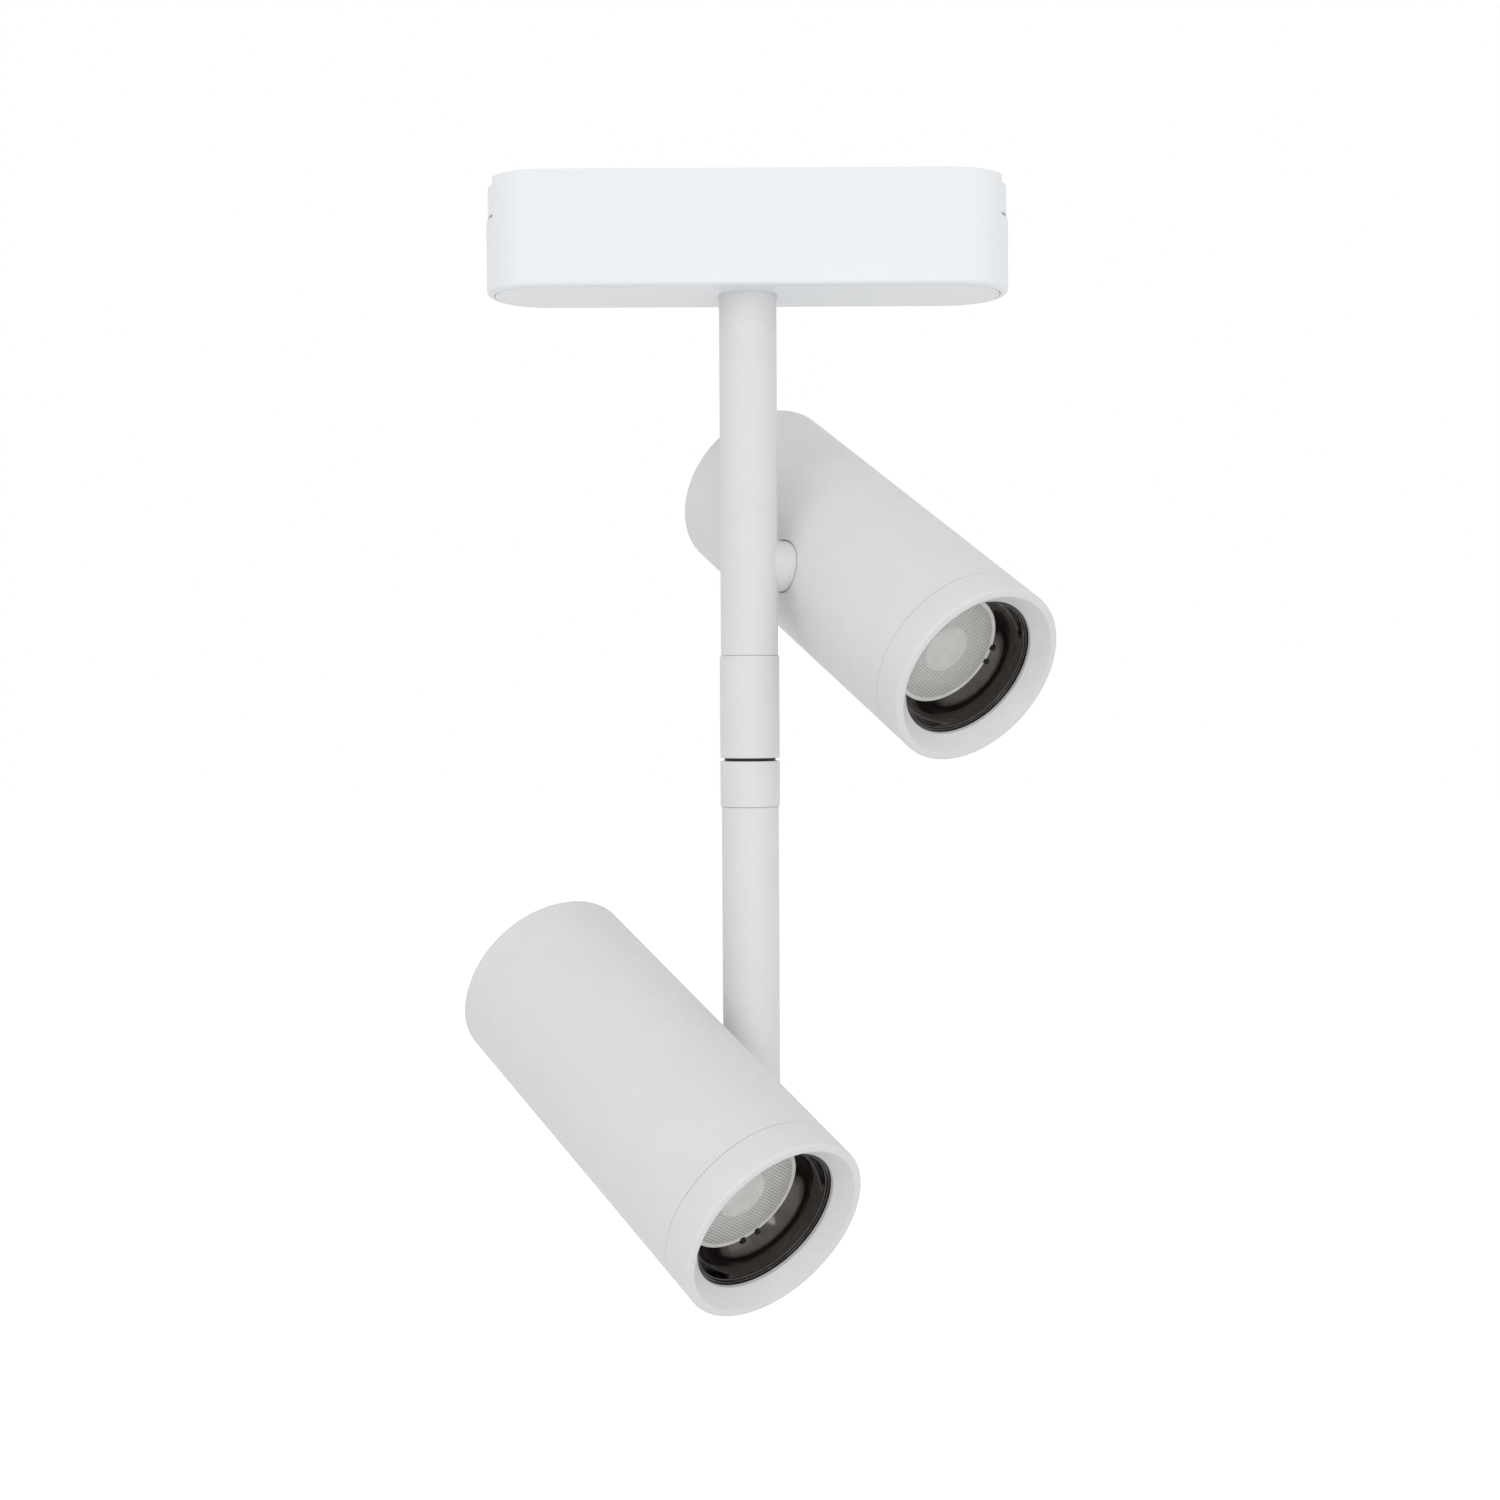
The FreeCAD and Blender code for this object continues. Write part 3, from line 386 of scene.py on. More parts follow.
def moulded_optic():
    """Milky clear resin, warm in the eye and bright at the rim, with painted shade in the valleys
    of its pillows and a painted highlight on their crests.

    The piece's own shade attribute says which: 0 in a valley (painted shade), 0.5 in the eye,
    1 on a crest (painted highlight).
    """
    resin = Finish("MouldedOptic", specular_ior_level=0.5, coat_weight=0.35, coat_roughness=0.12)
    shade = resin.add("ShaderNodeAttribute")
    shade.attribute_name = "shade"
    clouded_painted_shade = resin.add("ShaderNodeMath")
    clouded_painted_shade.operation = "MULTIPLY"
    resin.feed(clouded_painted_shade.inputs[0], shade.outputs["Fac"])
    resin.feed(clouded_painted_shade.inputs[1], resin.swing(resin.noise(3.5), 0.86, 1.06))
    # The ramp paints shade into the pillow valleys and a highlight onto their crests; the eye and the rim are
    # plain tones.
    resin.colour(resin.ramp(clouded_painted_shade.outputs[0], (0.0, (0.26, 0.26, 0.25)),
                            (0.5, (0.64, 0.63, 0.595)), (1.0, (0.92, 0.92, 0.905))))
    resin.roughness(resin.swing(resin.noise(0.7), 0.26, 0.36))
    return resin.relief((resin.noise(0.35), 0.003)).material


def spun_metal(name, colour, fine=0.12, run=0.08, low=0.28, high=0.42):
    """Metal with fine tool lines drawn out along Z and a slight change of shade."""
    metal = Finish(name, metallic=1.0)
    lines = metal.noise(fine, where=metal.stretched(z=run))
    dull, bright = [tuple(level * part for part in colour) for level in (0.88, 1.0)]
    metal.colour(metal.ramp(metal.noise(1.8), (0.3, dull), (0.7, bright)))
    metal.roughness(metal.swing(lines, low, high))
    return metal.relief((lines, 0.004)).material


def cast_metal():
    metal = Finish("CastAluminium", metallic=1.0)
    dull, bright = (0.55, 0.56, 0.57), (0.66, 0.67, 0.68)
    metal.colour(metal.ramp(metal.noise(2.5), (0.3, dull), (0.7, bright)))
    metal.roughness(metal.swing(metal.noise(0.9), 0.42, 0.6))
    return metal.relief((metal.cells(0.5), 0.02)).material


def zinc_spangle():
    """Zinc plate: small irregular crystals, each a slightly different shade."""
    metal = Finish("ZincSteel", metallic=1.0)
    cells = metal.cells(1.1)
    metal.colour(metal.ramp(cells, (0.0, (0.62, 0.64, 0.67)), (0.8, (0.50, 0.52, 0.54))))
    metal.roughness(metal.swing(metal.noise(0.7), 0.26, 0.40))
    return metal.relief((metal.noise(0.3), 0.004)).material


def circuit_board():
    """Green solder mask over a net of copper runs about a millimetre apart."""
    board = Finish("CircuitBoard", specular_ior_level=0.5)
    runs = board.add("ShaderNodeTexBrick", vector=board.here, scale=1 / (4 * MM))
    for socket, colour in (("Color1", (0.012, 0.075, 0.03)), ("Color2", (0.016, 0.09, 0.04)),
                           ("Mortar", (0.04, 0.16, 0.07))):
        runs.inputs[socket].default_value = (*colour, 1)
    runs.inputs["Mortar Size"].default_value = 0.06
    board.colour(runs.outputs["Color"])
    board.roughness(board.swing(board.noise(0.8), 0.28, 0.4))
    return board.relief((runs.outputs["Fac"], 0.03)).material


def component_body():
    body = Finish("ComponentBody", specular_ior_level=0.45)
    body.colour(drift(body, 0.03, 0.25, 4))
    body.roughness(body.swing(body.noise(0.6), 0.38, 0.52))
    return body.relief((body.noise(0.25), 0.006)).material


def ceramic():
    glaze = Finish("CeramicBoard", specular_ior_level=0.5)
    glaze.colour(drift(glaze, 0.76, 0.015, 2, 0.01))
    glaze.roughness(glaze.swing(glaze.noise(0.5), 0.3, 0.44))
    return glaze.relief((glaze.noise(0.2), 0.004)).material


def phosphor():
    """Yellow powder set in clear gel, with a grain a quarter of a millimetre wide."""
    gel = Finish("Phosphor", specular_ior_level=0.5)
    grain = gel.cells(0.25)
    gel.colour(gel.ramp(grain, (0.0, (0.86, 0.60, 0.08)), (0.8, (0.72, 0.46, 0.05))))
    gel.roughness(gel.swing(gel.noise(0.4), 0.3, 0.45))
    return gel.relief((grain, 0.008)).material


COAT = powder_coat()
PLASTIC = satin_plastic()
DECK = inner_plastic()
BLACK = black_plastic()
NYLON = dark_nylon()
CHROME = black_chrome()
OPTIC = moulded_optic()
CAST = cast_metal()
ZINC = zinc_spangle()
BOARD = circuit_board()
BODY = component_body()
CERAMIC = ceramic()
PHOSPHOR = phosphor()
BRASS = spun_metal("Brass", (0.78, 0.56, 0.22))
NICKEL = spun_metal("Nickel", (0.66, 0.63, 0.57), low=0.16, high=0.28)
SPRING = spun_metal("SpringSteel", (0.50, 0.51, 0.53), low=0.22, high=0.34)

SLOT_FINISH = {
    "white_powder_coat": COAT, "white_plastic": PLASTIC, "black_plastic": BLACK,
    "magnet_nickel": NICKEL, "brass": BRASS, "spring_steel": SPRING, "zinc_steel": ZINC,
    "green_board": BOARD, "component_plastic": BODY, "cast_aluminium": CAST, "nylon": NYLON,
    "black_chrome": CHROME, "clear_lens": OPTIC, "ceramic_board": CERAMIC, "phosphor": PHOSPHOR,
}


def finish_nodes():
    """Every CAD node takes the finish of the slot that the record gives it."""
    for subpart in frame["record"]["subparts"]:
        node = frame["nodes"][subpart["node"]]
        for material_slot in node.material_slots:
            material_slot.material = SLOT_FINISH[subpart["material_slot"]]


# ---------------------------------------------------------------- adapter
SHELL_WALL = 2.0
LEDGE = 1.2
EDGE_ROUND = 1.4
COVER_POCKET = 2.5
DECK_SEAT = 4.2
NOTCH_HALF = 8.3
NOTCH_DEPTH = 10.4
LATCH_COLUMNS = 17
SHOULDER_COLUMNS = 15
SIDE_COLUMNS = 9
SIDE_INSET = 0.4


def stadium_runs(half_width, centre):
    """One end mouth and one side of a stadium; the rest is these two turned by half a turn.

    The end is an arc of half_width about x = centre, with a column at each side of the notch,
    where sin(angle) = notch half / half_width; the side is an arc, a straight and an arc.
    """
    edge = asin(NOTCH_HALF / half_width)

    def arc(angle):
        return np.stack([centre + half_width * np.cos(angle), half_width * np.sin(angle)], -1)

    shoulder = arc(np.linspace(edge, pi / 2, SHOULDER_COLUMNS))
    along = np.linspace(1, -1, SIDE_COLUMNS)[:, None] * (centre - SIDE_INSET)
    straight = np.concatenate([along, np.full_like(along, half_width)], -1)
    side = np.concatenate([shoulder, straight, shoulder[::-1] * (-1, 1)])
    return arc(np.linspace(-edge, edge, LATCH_COLUMNS)), side


def swept(section, run, centre, way):
    """Carries a (half width, level) section along one run of the stadium, way = 1 or -1.

    A section point gives a row at its level: the run of the stadium with its half width.
    """
    rows = []
    for half, level in section:
        flat = way * stadium_runs(half, centre)[run]
        rows.append(np.concatenate([flat, np.full((len(flat), 1), level)], -1))
    return np.stack(rows)


def adapter_sleeve():
    """The case: a section carried round the stadium, lower where the latch notches are."""
    low, high = span("adapter_shell")
    half = high[1]
    centre = high[0] - half
    inner = half - SHELL_WALL
    cavity = inner - LEDGE
    floor = -NOTCH_DEPTH
    below = [(cavity, floor), (cavity, low[2] + COVER_POCKET), (inner, low[2] + COVER_POCKET),
             (inner, low[2], 0.15), (half, low[2], EDGE_ROUND), (half, floor)]
    above = [(half, 0, 0.35), (inner, 0, 0.2), (inner, -DECK_SEAT), (cavity, -DECK_SEAT)]
    lower, whole = outline(*below), outline(*below, *above)
    cheek = outline((cavity, floor), (half, floor), *above)
    patches = []
    for way in (1, -1):
        patches.append(patch(swept(closed(lower), 0, centre, way)))
        patches.append(patch(swept(closed(whole), 1, centre, way)))
        side = swept(cheek, 1, centre, way)
        patches += [panel(side[:, 0]), panel(side[:, -1])]
    piece("sleeve", patches, "adapter", PLASTIC, "white_plastic", "adapter_shell", edge=0.16)


def adapter_trim():
    """The inset cover, the deck, its screws and magnets, the contacts and the release tabs."""
    refined("cover_plate", "bottom_cover", "adapter", PLASTIC, 0.12)
    refined("deck_plate", "top_deck", "adapter", DECK, 0.12)
    refined("deck_screws", "case_screws", "adapter", ZINC, 0.15)
    refined("holding_magnets", "magnets", "adapter", NICKEL, 0.25)
    refined("contact_carrier", "contact_block", "adapter", BLACK, 0.15)
    refined("contact_tips", "contact_pins", "contact_pins", BRASS, 0.3)
    for side in ("left", "right"):
        refined("release_tab_" + side, "latch_" + side, "latch_" + side, PLASTIC,
                0.2)


# ---------------------------------------------------------------- stem
TUBE_WALL = 1.5
SEAM = 0.13
GROOVE = 0.13
GROOVE_DEPTH = 0.35
PLUG_ROUND = 0.5
PLUG_FLAT = 3
BOSS_NECK = 4.0
BOSS_BORE = 2.0
BOSS_STRAIGHT = 3
BOSS_CHAMFER = 0.2


def stem():
    """Two tubes, the two sleeves of the swivel with its dark ring, and the end plug."""
    tube_low, tube_high = span("upper_rod")
    lower_low, lower_high = span("lower_rod")
    radius = tube_high[0]
    bore = radius - TUBE_WALL
    for name, body, bottom, top in (
            ("upper_tube", "upper_stem", tube_low[2], tube_high[2]),
            ("lower_tube", "lower_stem", lower_low[2], lower_high[2])):
        neck = radius - GROOVE_DEPTH
        section = outline((bore, bottom), (neck, bottom), (neck, bottom + GROOVE),
                          (radius, bottom + GROOVE, 0.06), (radius, top - GROOVE, 0.06),
                          (neck, top - GROOVE), (neck, top), (bore, top))
        piece(name, [turned(closed(section))], body, COAT, "white_powder_coat",
              name.replace("tube", "rod"))
    collar_low, collar_high = span("upper_collar")
    collar = collar_high[0]
    shaft = span("swivel_spindle")[1][0]
    section = outline((shaft, collar_low[2]), (collar, collar_low[2], 0.3),
                      (collar, tube_low[2], SEAM), (bore, tube_low[2]), (bore, collar_high[2], 0.4),
                      (shaft, collar_high[2]))
    piece("upper_sleeve", [turned(closed(section))], "upper_stem", COAT, "white_powder_coat",
          "upper_collar")
    lower_collar_low, lower_collar_high = span("lower_collar")
    section = outline((shaft, lower_collar_low[2]), (bore, lower_collar_low[2], 0.4),
                      (bore, lower_high[2]), (collar, lower_high[2], SEAM),
                      (collar, lower_collar_high[2], 0.3), (shaft, lower_collar_high[2]))
    piece("lower_sleeve", [turned(closed(section))], "lower_stem", COAT, "white_powder_coat",
          "lower_collar")
    ring_low, ring_high = span("swivel_washer")
    section = outline((shaft, ring_low[2]), (ring_high[0], ring_low[2]),
                      (ring_high[0], ring_high[2]), (shaft, ring_high[2]))
    piece("swivel_ring", [turned(closed(section))], "upper_stem", NYLON, "nylon", "swivel_washer")
    plug_low, plug_high = span("rod_end_plug")
    section = outline((0, plug_low[2]), (radius - PLUG_FLAT, plug_low[2]),
                      (radius, plug_low[2], PLUG_ROUND), (radius, lower_low[2], SEAM),
                      (bore, lower_low[2]), (bore, plug_high[2], 0.3), (0, plug_high[2]))
    piece("end_plug", [turned(section)], "lower_stem", COAT, "white_powder_coat", "rod_end_plug")


def side_boss(name, body):
    """The short stub between stem and head, cut to the stem's round where they meet.

    A point of the stub at height x and sidestep y starts at the level sqrt(stem^2 - y^2).
    """
    place = arm_place(name)
    own = place.bring_back(points_of(name + "_pivot_boss"))
    stem_radius = span("upper_rod")[1][0]
    boss = np.hypot(own[:, 0], own[:, 1]).max()
    end, start = own[:, 2].max(), own[:, 2].min()
    face = own[np.hypot(own[:, 0], own[:, 1]) > boss - 0.1][:, 2].max()
    neck, bore, chamfer = BOSS_NECK, BOSS_BORE, BOSS_CHAMFER
    rows = [(bore, start, 0), (neck, start, 0), (neck, 0, 1), (boss, 0, 1),
            (boss, BOSS_STRAIGHT, 1), (boss, face - chamfer, 0), (boss - chamfer, face, 0),
            (neck, face, 0), (neck, end, 0), (bore, end, 0), (bore, start, 0)]
    radius, level, saddle = [np.array(column, float)[:, None] for column in zip(*rows)]
    angle = np.linspace(0, 2 * pi, 128, endpoint=False)
    sidestep = radius * np.sin(angle)
    grid = [radius * np.cos(angle), sidestep,
            level + saddle * np.sqrt(stem_radius ** 2 - sidestep ** 2) + 0 * angle]
    piece(name + "_side_boss", [patch(np.stack(grid, -1), ring=True)], body, COAT,
          "white_powder_coat", name + "_pivot_boss", place=place)


# ---------------------------------------------------------------- heads
WINDOW_CELLS = 14
WINDOW_RINGS = 6
WINDOW_MARGIN = 3.5
WALL_COLUMNS = 145
WALL_ROWS = 7
HOLE_REACH = (7.4, 9)
RIM = 2.1
DISH = 4.0
LIP = 1.0
CAP_FLAT = 6
SPIGOT_WALL = 1.5
CAP_CHAMFER = 1.0
CAP_SLOPE = 2.0


def holed_wall(radius, low, high, hole):
    """A tube wall with a round hole about +X: four patches, the hole's edge and all angles.

    Away from the hole it is a plain grid of angle and level. Round the hole a square window of
    that grid is filled with rings that change from the circle to the square:
    p = (1 - t) circle + t square, in unrolled length and level.
    """
    half_window = hole + WINDOW_MARGIN
    edge = asin(half_window / radius)
    inside = np.linspace(-edge, edge, WINDOW_CELLS + 1)
    across = np.linspace(-half_window, half_window, WINDOW_CELLS + 1)
    around = np.linspace(edge, 2 * pi - edge, WALL_COLUMNS)
    lower = np.linspace(low, -half_window, WALL_ROWS)
    upper = np.linspace(half_window, high, WALL_ROWS)

    def wall(angle, level):
        angle, level = np.broadcast_arrays(angle, level)
        return np.stack([radius * np.cos(angle), radius * np.sin(angle), level], -1)

    levels = np.concatenate([lower[:-1], across, upper[1:]])
    square = np.concatenate([
        np.stack([inside[:-1], across[0] + 0 * inside[:-1]], -1),
        np.stack([inside[-1] + 0 * across[:-1], across[:-1]], -1),
        np.stack([inside[:0:-1], across[-1] + 0 * inside[1:]], -1),
        np.stack([inside[0] + 0 * across[1:], across[:0:-1]], -1)])
    bearing = np.arctan2(square[:, 1], radius * square[:, 0])
    circle = np.stack([np.arcsin(hole * np.cos(bearing) / radius), hole * np.sin(bearing)], -1)
    share = np.linspace(0, 1, WINDOW_RINGS + 1)[:, None, None]
    rings = (1 - share) * circle + share * square
    return [
        patch(wall(around[None], levels[:, None])),
        patch(wall(inside[None], lower[:, None])),
        patch(wall(inside[None], upper[:, None])),
        patch(wall(rings[..., 0], rings[..., 1]), ring=True),
    ], wall(circle[:, 0], circle[:, 1]), np.concatenate([inside[:-1], around[:-1]])


def housing(name, body, place):
    """The head's tube: two holed walls, the hole's own rim and the two end faces."""
    own = place.bring_back(points_of(name + "_housing"))
    distance = np.hypot(own[:, 0], own[:, 1])
    outer, inner = distance.max(), distance.min()
    low, high = own[:, 2].min(), own[:, 2].max()
    sideways, along = np.abs(own[:, 1]) < HOLE_REACH[0], np.abs(own[:, 2]) < HOLE_REACH[1]
    hole = own[(own[:, 0] > 0) & sideways & along]
    radius = np.hypot(hole[:, 1], hole[:, 2]).max()
    patches, loops, ends = [], [], []
    for wall in (outer, inner):
        made, loop, angle = holed_wall(wall, low, high, radius)
        patches += made
        loops.append(loop)
        ends.append(np.stack([wall * np.cos(angle), wall * np.sin(angle), 0 * angle], -1))
    patches.append(patch(np.stack(loops), ring=True))
    for level in (low, high):
        patches.append(patch(np.stack(ends) + (0, 0, level), ring=True))
    piece(name + "_tube_body", patches, body, COAT, "white_powder_coat", name + "_housing",
          place=place, edge=SEAM)
    return outer, inner, low, high


def rear_cap(name, body, place, outer, inner, seam):
    """The flat back with its chamfered edge."""
    own = place.bring_back(points_of(name + "_rear_cap"))
    back, spigot = own[:, 2].min(), own[:, 2].max()
    section = outline(
        (0, back), (outer - CAP_FLAT, back), (outer - CAP_CHAMFER, back, 0.3),
        (outer, back + CAP_SLOPE, 0.15), (outer, seam - GROOVE, 0.05),
        (outer - GROOVE_DEPTH, seam - GROOVE), (outer - GROOVE_DEPTH, seam), (inner, seam),
        (inner, spigot, 0.3), (inner - SPIGOT_WALL, spigot), (inner - SPIGOT_WALL, seam),
        (0, seam))
    piece(name + "_back_cap", [turned(section)], body, COAT, "white_powder_coat",
          name + "_rear_cap", place=place)


def bezel(name, body, place, outer, inner, seam):
    """The front ring: a rounded rim, a shallow dish and a thin lip round the opening."""
    own = place.bring_back(points_of(name + "_bezel"))
    front, tail = own[:, 2].max(), own[:, 2].min()
    opening = np.hypot(own[:, 0], own[:, 1]).min()
    spigot = np.hypot(own[:, 0], own[:, 1])[own[:, 2] < tail + 0.01].min()
    section = outline(
        (outer - GROOVE_DEPTH, seam), (outer - GROOVE_DEPTH, seam + GROOVE),
        (outer, seam + GROOVE, 0.06), (outer, front, 0.7), (outer - RIM, front, 0.3),
        (opening, front - DISH, 0.3), (opening, front - DISH - LIP, 0.15),
        (spigot, front - DISH - LIP), (spigot, tail), (inner, tail), (inner, seam))
    piece(name + "_front_ring", [turned(closed(section))], body, COAT, "white_powder_coat",
          name + "_bezel", place=place)
    return front


CONE_BOW = 0.95
CONE_ROWS = 25
CONE_COLUMNS = 192
LIP_WIDTH = 1.0
LIP_HEIGHT = 1.1


def cone(name, body, place):
    """The dark reflector: a rounded lip, a fine groove and a slightly bowed cone to the lens.

    With t from 0 at the lip to 1 at the lens, the cone's radius and level run straight between
    its ends, and its radius is wider than that by CONE_BOW sin(pi t).
    """
    own = place.bring_back(points_of(name + "_reflector"))
    distance = np.hypot(own[:, 0], own[:, 1])
    lip, rear = own[:, 2].max(), own[:, 2].min()
    mouth = distance[own[:, 2] > lip - 0.01].min()
    throat, flange = distance.min(), distance.max()
    share = np.linspace(0, 1, CONE_ROWS)
    bow = CONE_BOW * np.sin(pi * share)
    wall = np.stack([(mouth - LIP_WIDTH) + (throat - mouth + LIP_WIDTH) * share + bow,
                     lip - LIP_HEIGHT + (rear - lip + LIP_HEIGHT) * share], -1)
    front = outline((mouth + 0.02, lip, 0.15), (mouth - 0.5, lip, 0.22), (mouth - 0.55, lip - 0.7),
                    (mouth - 0.75, lip - 0.85), (mouth - 0.95, lip - 0.8), steps=4)
    back = np.array([(throat + 0.8, rear), (mouth + 0.6, lip - 1), (flange, lip - 1), (flange, lip)])
    section = np.concatenate([front, wall, back])
    thing = piece(name + "_cone", [turned(closed(section), CONE_COLUMNS)], body, CHROME,
                  "black_chrome", name + "_reflector", place=place, smooth_below=40)
    made = place.bring_back(mesh_points(thing.data))
    outward = made[:, :2] / np.hypot(made[:, 0], made[:, 1])[:, None]
    rise = np.full(len(made), (lip - rear) / (mouth - throat))
    slope = np.column_stack([outward, rise]) @ place.turn.T
    thing.data.attributes.new("slope", "FLOAT_VECTOR", "POINT").data.foreach_set(
        "vector", slope.ravel())
    return rear, throat


# Where the two small black keys stand over the lens edge, in degrees from the stem side.
KEYS = {"upper": (168, 183), "lower": (-70, -54)}
KEY_INSIDE = 0.75
KEY_OUTSIDE = 0.5
KEY_HALF = 0.55
KEY_HEIGHT = 0.9
KEY_SUNK = 0.1


def keys(name, body, place, rear, throat):
    """Two square lugs that hold the lens in the reflector, on the cone's foot."""
    for number, bearing in enumerate(KEYS[name], start=1):
        turn = radians(bearing)
        out = np.array([cos(turn), sin(turn), 0.0])
        side = np.array([-sin(turn), cos(turn), 0.0])
        key_place = Place(place.turn @ np.stack([out, side, [0, 0, 1.0]], -1), place.origin)
        near, far = throat - KEY_INSIDE, throat + KEY_OUTSIDE
        foot, top = rear - KEY_SUNK, rear + KEY_HEIGHT
        section = outline((near, foot), (far, foot), (far, top), (near, top, 0.15))
        halves = np.array([-KEY_HALF, KEY_HALF])[:, None]
        block = np.stack([section[:, 0] + 0 * halves, halves + 0 * section[:, 0],
                          section[:, 1] + 0 * halves], -1)
        ring = np.concatenate([block, block[:, :1]], 1)
        piece(f"{name}_lens_key_{number}", [patch(ring), panel(block[0]), panel(block[1])], body,
              NYLON, "black_plastic", place=key_place, edge=0.08)


PILLOW_PITCH = 0.72
PILLOW_HEIGHT = 0.09
LENS_EYE = 6.2
EYE_DEPTH = 0.25
LENS_CELLS = 260
LENS_RIM = 0.85
LENS_EDGE = 1.2
LENS_TAPER = 0.6
PILLOW_MIDDLE = 0.4
BAND_FADE = 0.3
EYE_SHADE = 0.5
RIM_SHADE = 0.9


def pillows(x, y, radius):
    """The height, 0 to 1, of pillows at a point, how far it lies in their band, and its eye.

    The height is the sum of three cosine waves that cross at sixty degrees, from -1.5 to 3.
    """
    away = np.hypot(x, y)
    waves = sum(np.cos(2 * pi * (x * cos(turn) + y * sin(turn)) / PILLOW_PITCH)
                for turn in (0, pi / 3, 2 * pi / 3))
    inner = np.clip((away - LENS_EYE) / BAND_FADE, 0, 1)
    outer = np.clip((radius - LENS_RIM - away) / BAND_FADE, 0, 1)
    return (waves + 1.5) / 4.5, inner * outer, np.clip(1 - (away / LENS_EYE) ** 2, 0, 1)


def lens(name, body, place):
    """The lens: a disc grid with a pillow pattern between its plain eye and its plain rim.

    A square grid is drawn onto the disc: (u, v) goes to (u sqrt(1 - v^2 / 2), v sqrt(1 - u^2 / 2)).
    The level rises with a pillow's height and dips in the eye by EYE_DEPTH (1 - (r / eye)^2).
    """
    own = place.bring_back(points_of(name + "_lens"))
    distance = np.hypot(own[:, 0], own[:, 1])
    front, rear = own[:, 2].max(), own[:, 2].min()
    radius = distance[own[:, 2] > front - 0.01].max()
    u, v = np.meshgrid(*[np.linspace(-1, 1, LENS_CELLS + 1)] * 2)
    x = radius * u * np.sqrt(1 - v ** 2 / 2)
    y = radius * v * np.sqrt(1 - u ** 2 / 2)
    pillow, band, eye = pillows(x, y, radius)
    level = front - EYE_DEPTH * eye + PILLOW_HEIGHT * (band * (pillow - PILLOW_MIDDLE) - 1.5)
    face = np.stack([x, y, level], -1)
    edge = np.concatenate([face[0, :-1], face[:-1, -1], face[-1, :0:-1], face[:0:-1, 0]])
    foot = edge.copy()
    foot[:, 2] = front - LENS_EDGE
    narrow = foot * (LENS_TAPER, LENS_TAPER, 1)
    narrow[:, 2] = rear
    mesh = mesh_of(name + "_lens_disc", [
        patch(face), patch(np.stack([edge, foot, narrow]), ring=True), panel(narrow)], place, 50)
    merged = place.bring_back(mesh_points(mesh))
    pillow, band = pillows(merged[:, 0], merged[:, 1], radius)[:2]
    in_eye = np.hypot(merged[:, 0], merged[:, 1]) < LENS_EYE + 0.2
    plain = np.where(in_eye, EYE_SHADE, RIM_SHADE)
    # Painted light on the pillows: valleys get painted shade and crests a painted highlight; the eye and the rim
    # keep plain tones.
    shade = plain * (1 - band) + band * (0.12 + 0.8 * pillow)
    mesh.attributes.new("shade", "FLOAT", "POINT").data.foreach_set("value", shade)
    seat(name + "_lens_disc", mesh, body, OPTIC, (name + "_lens",))


def head(name):
    body = name + "_head"
    place = head_place(name)
    outer, inner, low, high = housing(name, body, place)
    rear_cap(name, body, place, outer, inner, low)
    bezel(name, body, place, outer, inner, high)
    rear, throat = cone(name, body, place)
    keys(name, body, place, rear, throat)
    lens(name, body, place)


# ---------------------------------------------------------------- studio
FLOOR_LEVEL = -0.45
FLOOR_LIFT = 0.42
FLOOR_HALF = 6.0
AMBIENT = 0.74
CAMERA_PLACE = (0, -0.5363, -0.13614)
CAMERA_PITCH = -1.27485
CAMERA_ROLL = 0.30523
CAMERA_LENS = 49.016


def seen_white(tree):
    """1 for rays from the camera, a mirror or a glass, which see plain white; else 0."""
    path = tree.nodes.new("ShaderNodeLightPath")
    total = path.outputs["Is Camera Ray"]
    for other in ("Is Glossy Ray", "Is Transmission Ray"):
        larger = tree.nodes.new("ShaderNodeMath")
        larger.operation = "MAXIMUM"
        tree.links.new(total, larger.inputs[0])
        tree.links.new(path.outputs[other], larger.inputs[1])
        total = larger.outputs[0]
    return total


def surround(ambient):
    """An even soft light from all round, behind a plain white background."""
    world = bpy.data.worlds.new("Studio")
    bpy.context.scene.world = world
    world.use_nodes = True
    tree = world.node_tree
    tree.nodes.clear()
    soft, white, mix, out = [tree.nodes.new(kind) for kind in (
        "ShaderNodeBackground", "ShaderNodeBackground", "ShaderNodeMixShader",
        "ShaderNodeOutputWorld")]
    soft.inputs["Color"].default_value = (1, 1, 1, 1)
    soft.inputs["Strength"].default_value = ambient
    white.inputs["Color"].default_value = (1, 1, 1, 1)
    tree.links.new(seen_white(tree), mix.inputs[0])
    tree.links.new(soft.outputs[0], mix.inputs[1])
    tree.links.new(white.outputs[0], mix.inputs[2])
    tree.links.new(mix.outputs[0], out.inputs["Surface"])


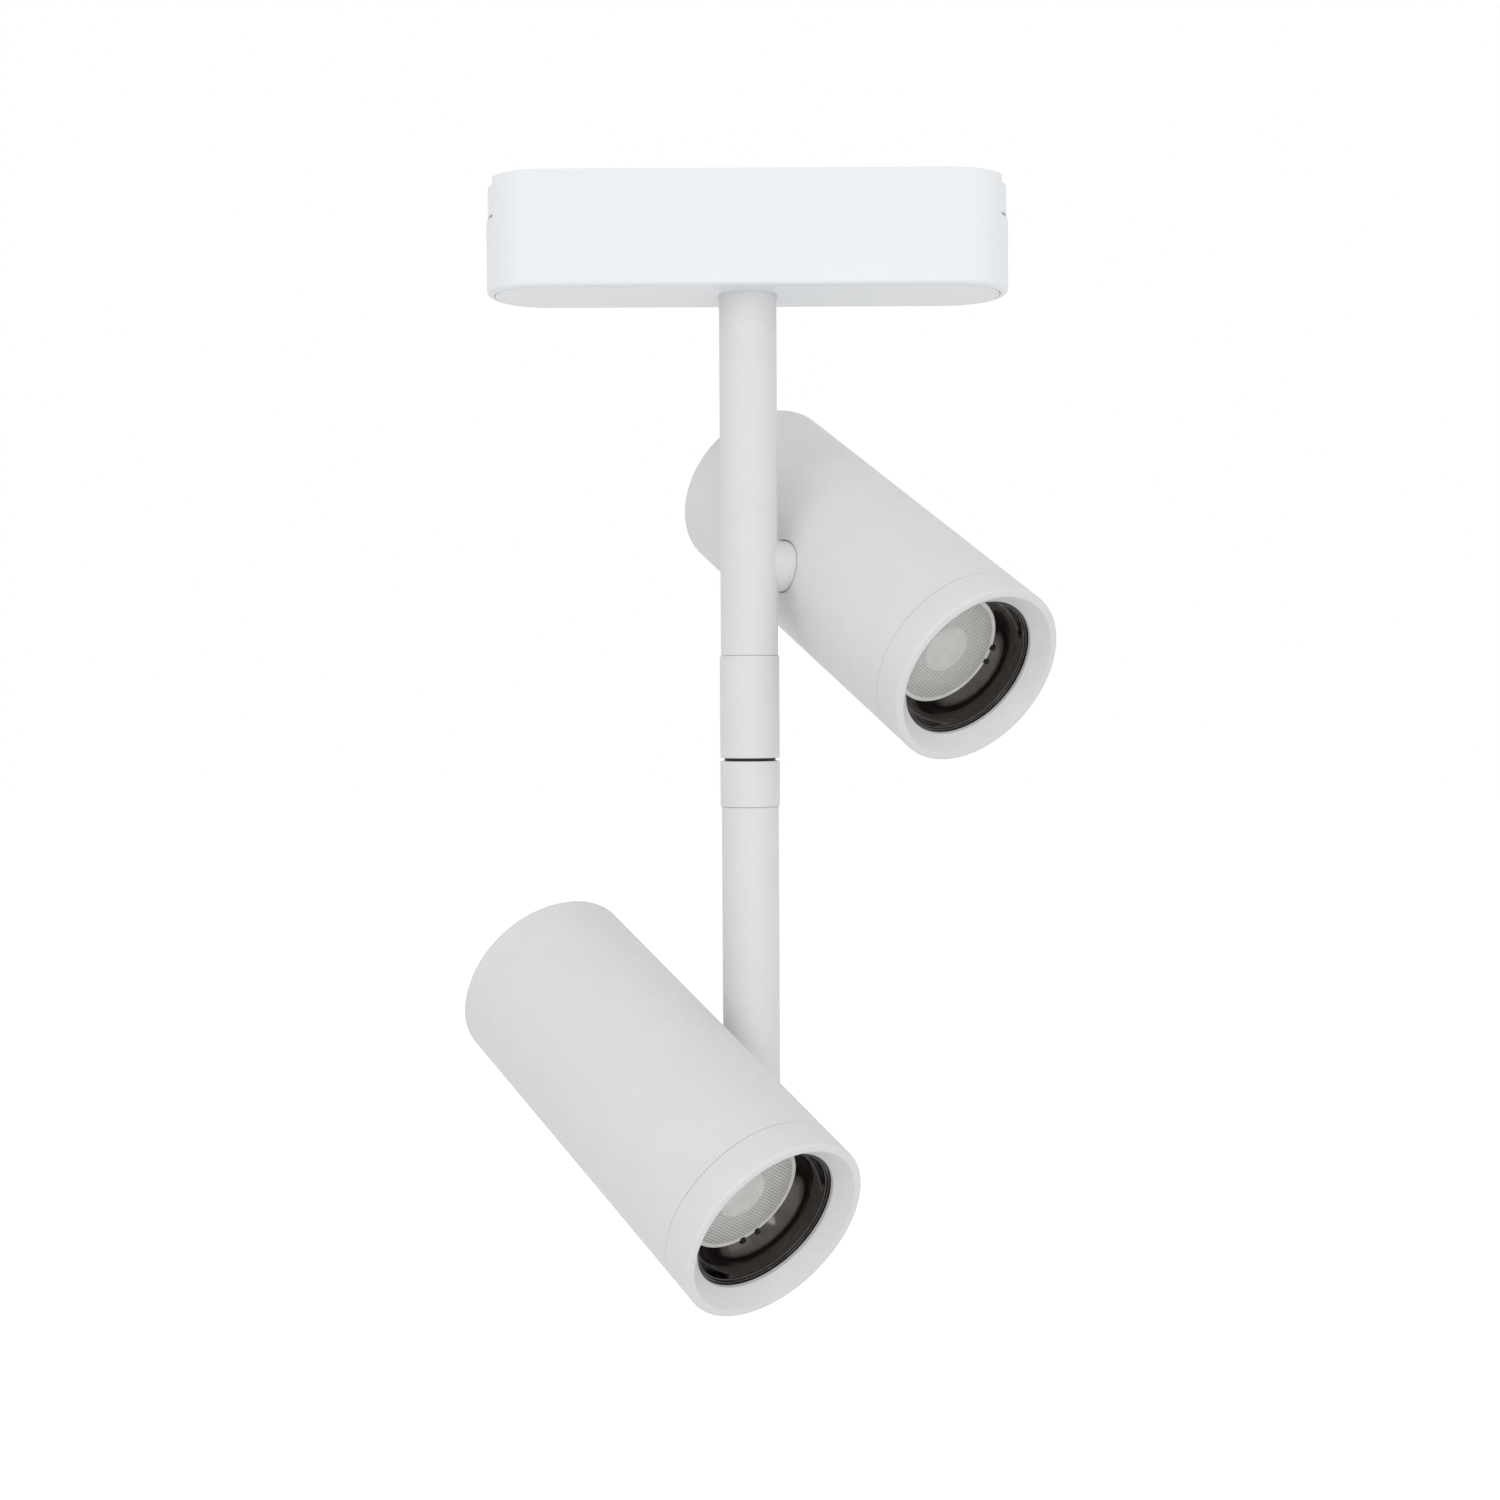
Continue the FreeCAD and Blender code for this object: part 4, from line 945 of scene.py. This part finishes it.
def floor():
    """A pale sheet that looks white and still takes part of the lamp's shadow."""
    half = FLOOR_HALF
    mesh = bpy.data.meshes.new("floor")
    corners = [(x * half, y * half, FLOOR_LEVEL) for x, y in ((-1, -1), (1, -1), (1, 1), (-1, 1))]
    mesh.from_pydata(corners, [], [(0, 1, 2, 3)])
    sheet = bpy.data.objects.new("floor", mesh)
    bpy.context.scene.collection.objects.link(sheet)
    paper = bpy.data.materials.new("Paper")
    paper.use_nodes = True
    tree = paper.node_tree
    tree.nodes.clear()
    dull, lift, total, share, out = [tree.nodes.new(kind) for kind in (
        "ShaderNodeBsdfDiffuse", "ShaderNodeEmission", "ShaderNodeAddShader", "ShaderNodeMath",
        "ShaderNodeOutputMaterial")]
    dull.inputs["Color"].default_value = (0.86, 0.86, 0.86, 1)
    share.operation = "MULTIPLY"
    share.inputs[1].default_value = FLOOR_LIFT
    tree.links.new(seen_white(tree), share.inputs[0])
    tree.links.new(share.outputs[0], lift.inputs["Strength"])
    tree.links.new(dull.outputs[0], total.inputs[0])
    tree.links.new(lift.outputs[0], total.inputs[1])
    tree.links.new(total.outputs[0], out.inputs["Surface"])
    mesh.materials.append(paper)


def soft_light(name, place, aim, width, power):
    """A square area lamp at place, turned to face aim, both in metres."""
    lamp = bpy.data.lights.new(name, "AREA")
    lamp.size = width
    lamp.energy = power
    thing = bpy.data.objects.new(name, lamp)
    bpy.context.scene.collection.objects.link(thing)
    way = Matrix.Translation(aim).translation - Matrix.Translation(place).translation
    thing.rotation_mode = "QUATERNION"
    thing.rotation_quaternion = way.to_track_quat("-Z", "Y")
    thing.location = place


def camera():
    """Camera in front of the lamp, tipped down and rolled by less than two degrees."""
    data = bpy.data.cameras.new("Camera")
    data.lens = CAMERA_LENS
    data.sensor_width = 36
    data.sensor_fit = "HORIZONTAL"
    thing = bpy.data.objects.new("Camera", data)
    bpy.context.scene.collection.objects.link(thing)
    turn = Matrix.Rotation(radians(CAMERA_PITCH), 4, "X") @ Matrix.Rotation(
        radians(CAMERA_ROLL), 4, "Y") @ Matrix.Rotation(radians(90), 4, "X")
    thing.matrix_world = Matrix.Translation(CAMERA_PLACE) @ turn
    bpy.context.scene.camera = thing


camera()
finish_nodes()
adapter_sleeve()
adapter_trim()
stem()
for arm, stem_body in (("upper", "upper_stem"), ("lower", "lower_stem")):
    side_boss(arm, stem_body)
    head(arm)
floor()
surround(AMBIENT)
soft_light("KeyLamp", (-0.8, -0.9, 0.35), (0, 0, -0.13), 0.7, 1.9)
soft_light("FillLamp", (0.9, -0.7, 0.1), (0, 0, -0.13), 0.8, 0.9)
soft_light("LowLamp", (0.15, -1.1, -0.30), (0, 0, -0.16), 0.5, 2.1)
soft_light("SparkLamp", (0.32, -0.70, 0.69), (-0.03, -0.05, -0.25), 0.06, 0.35)
bpy.context.scene.view_settings.view_transform = "Standard"
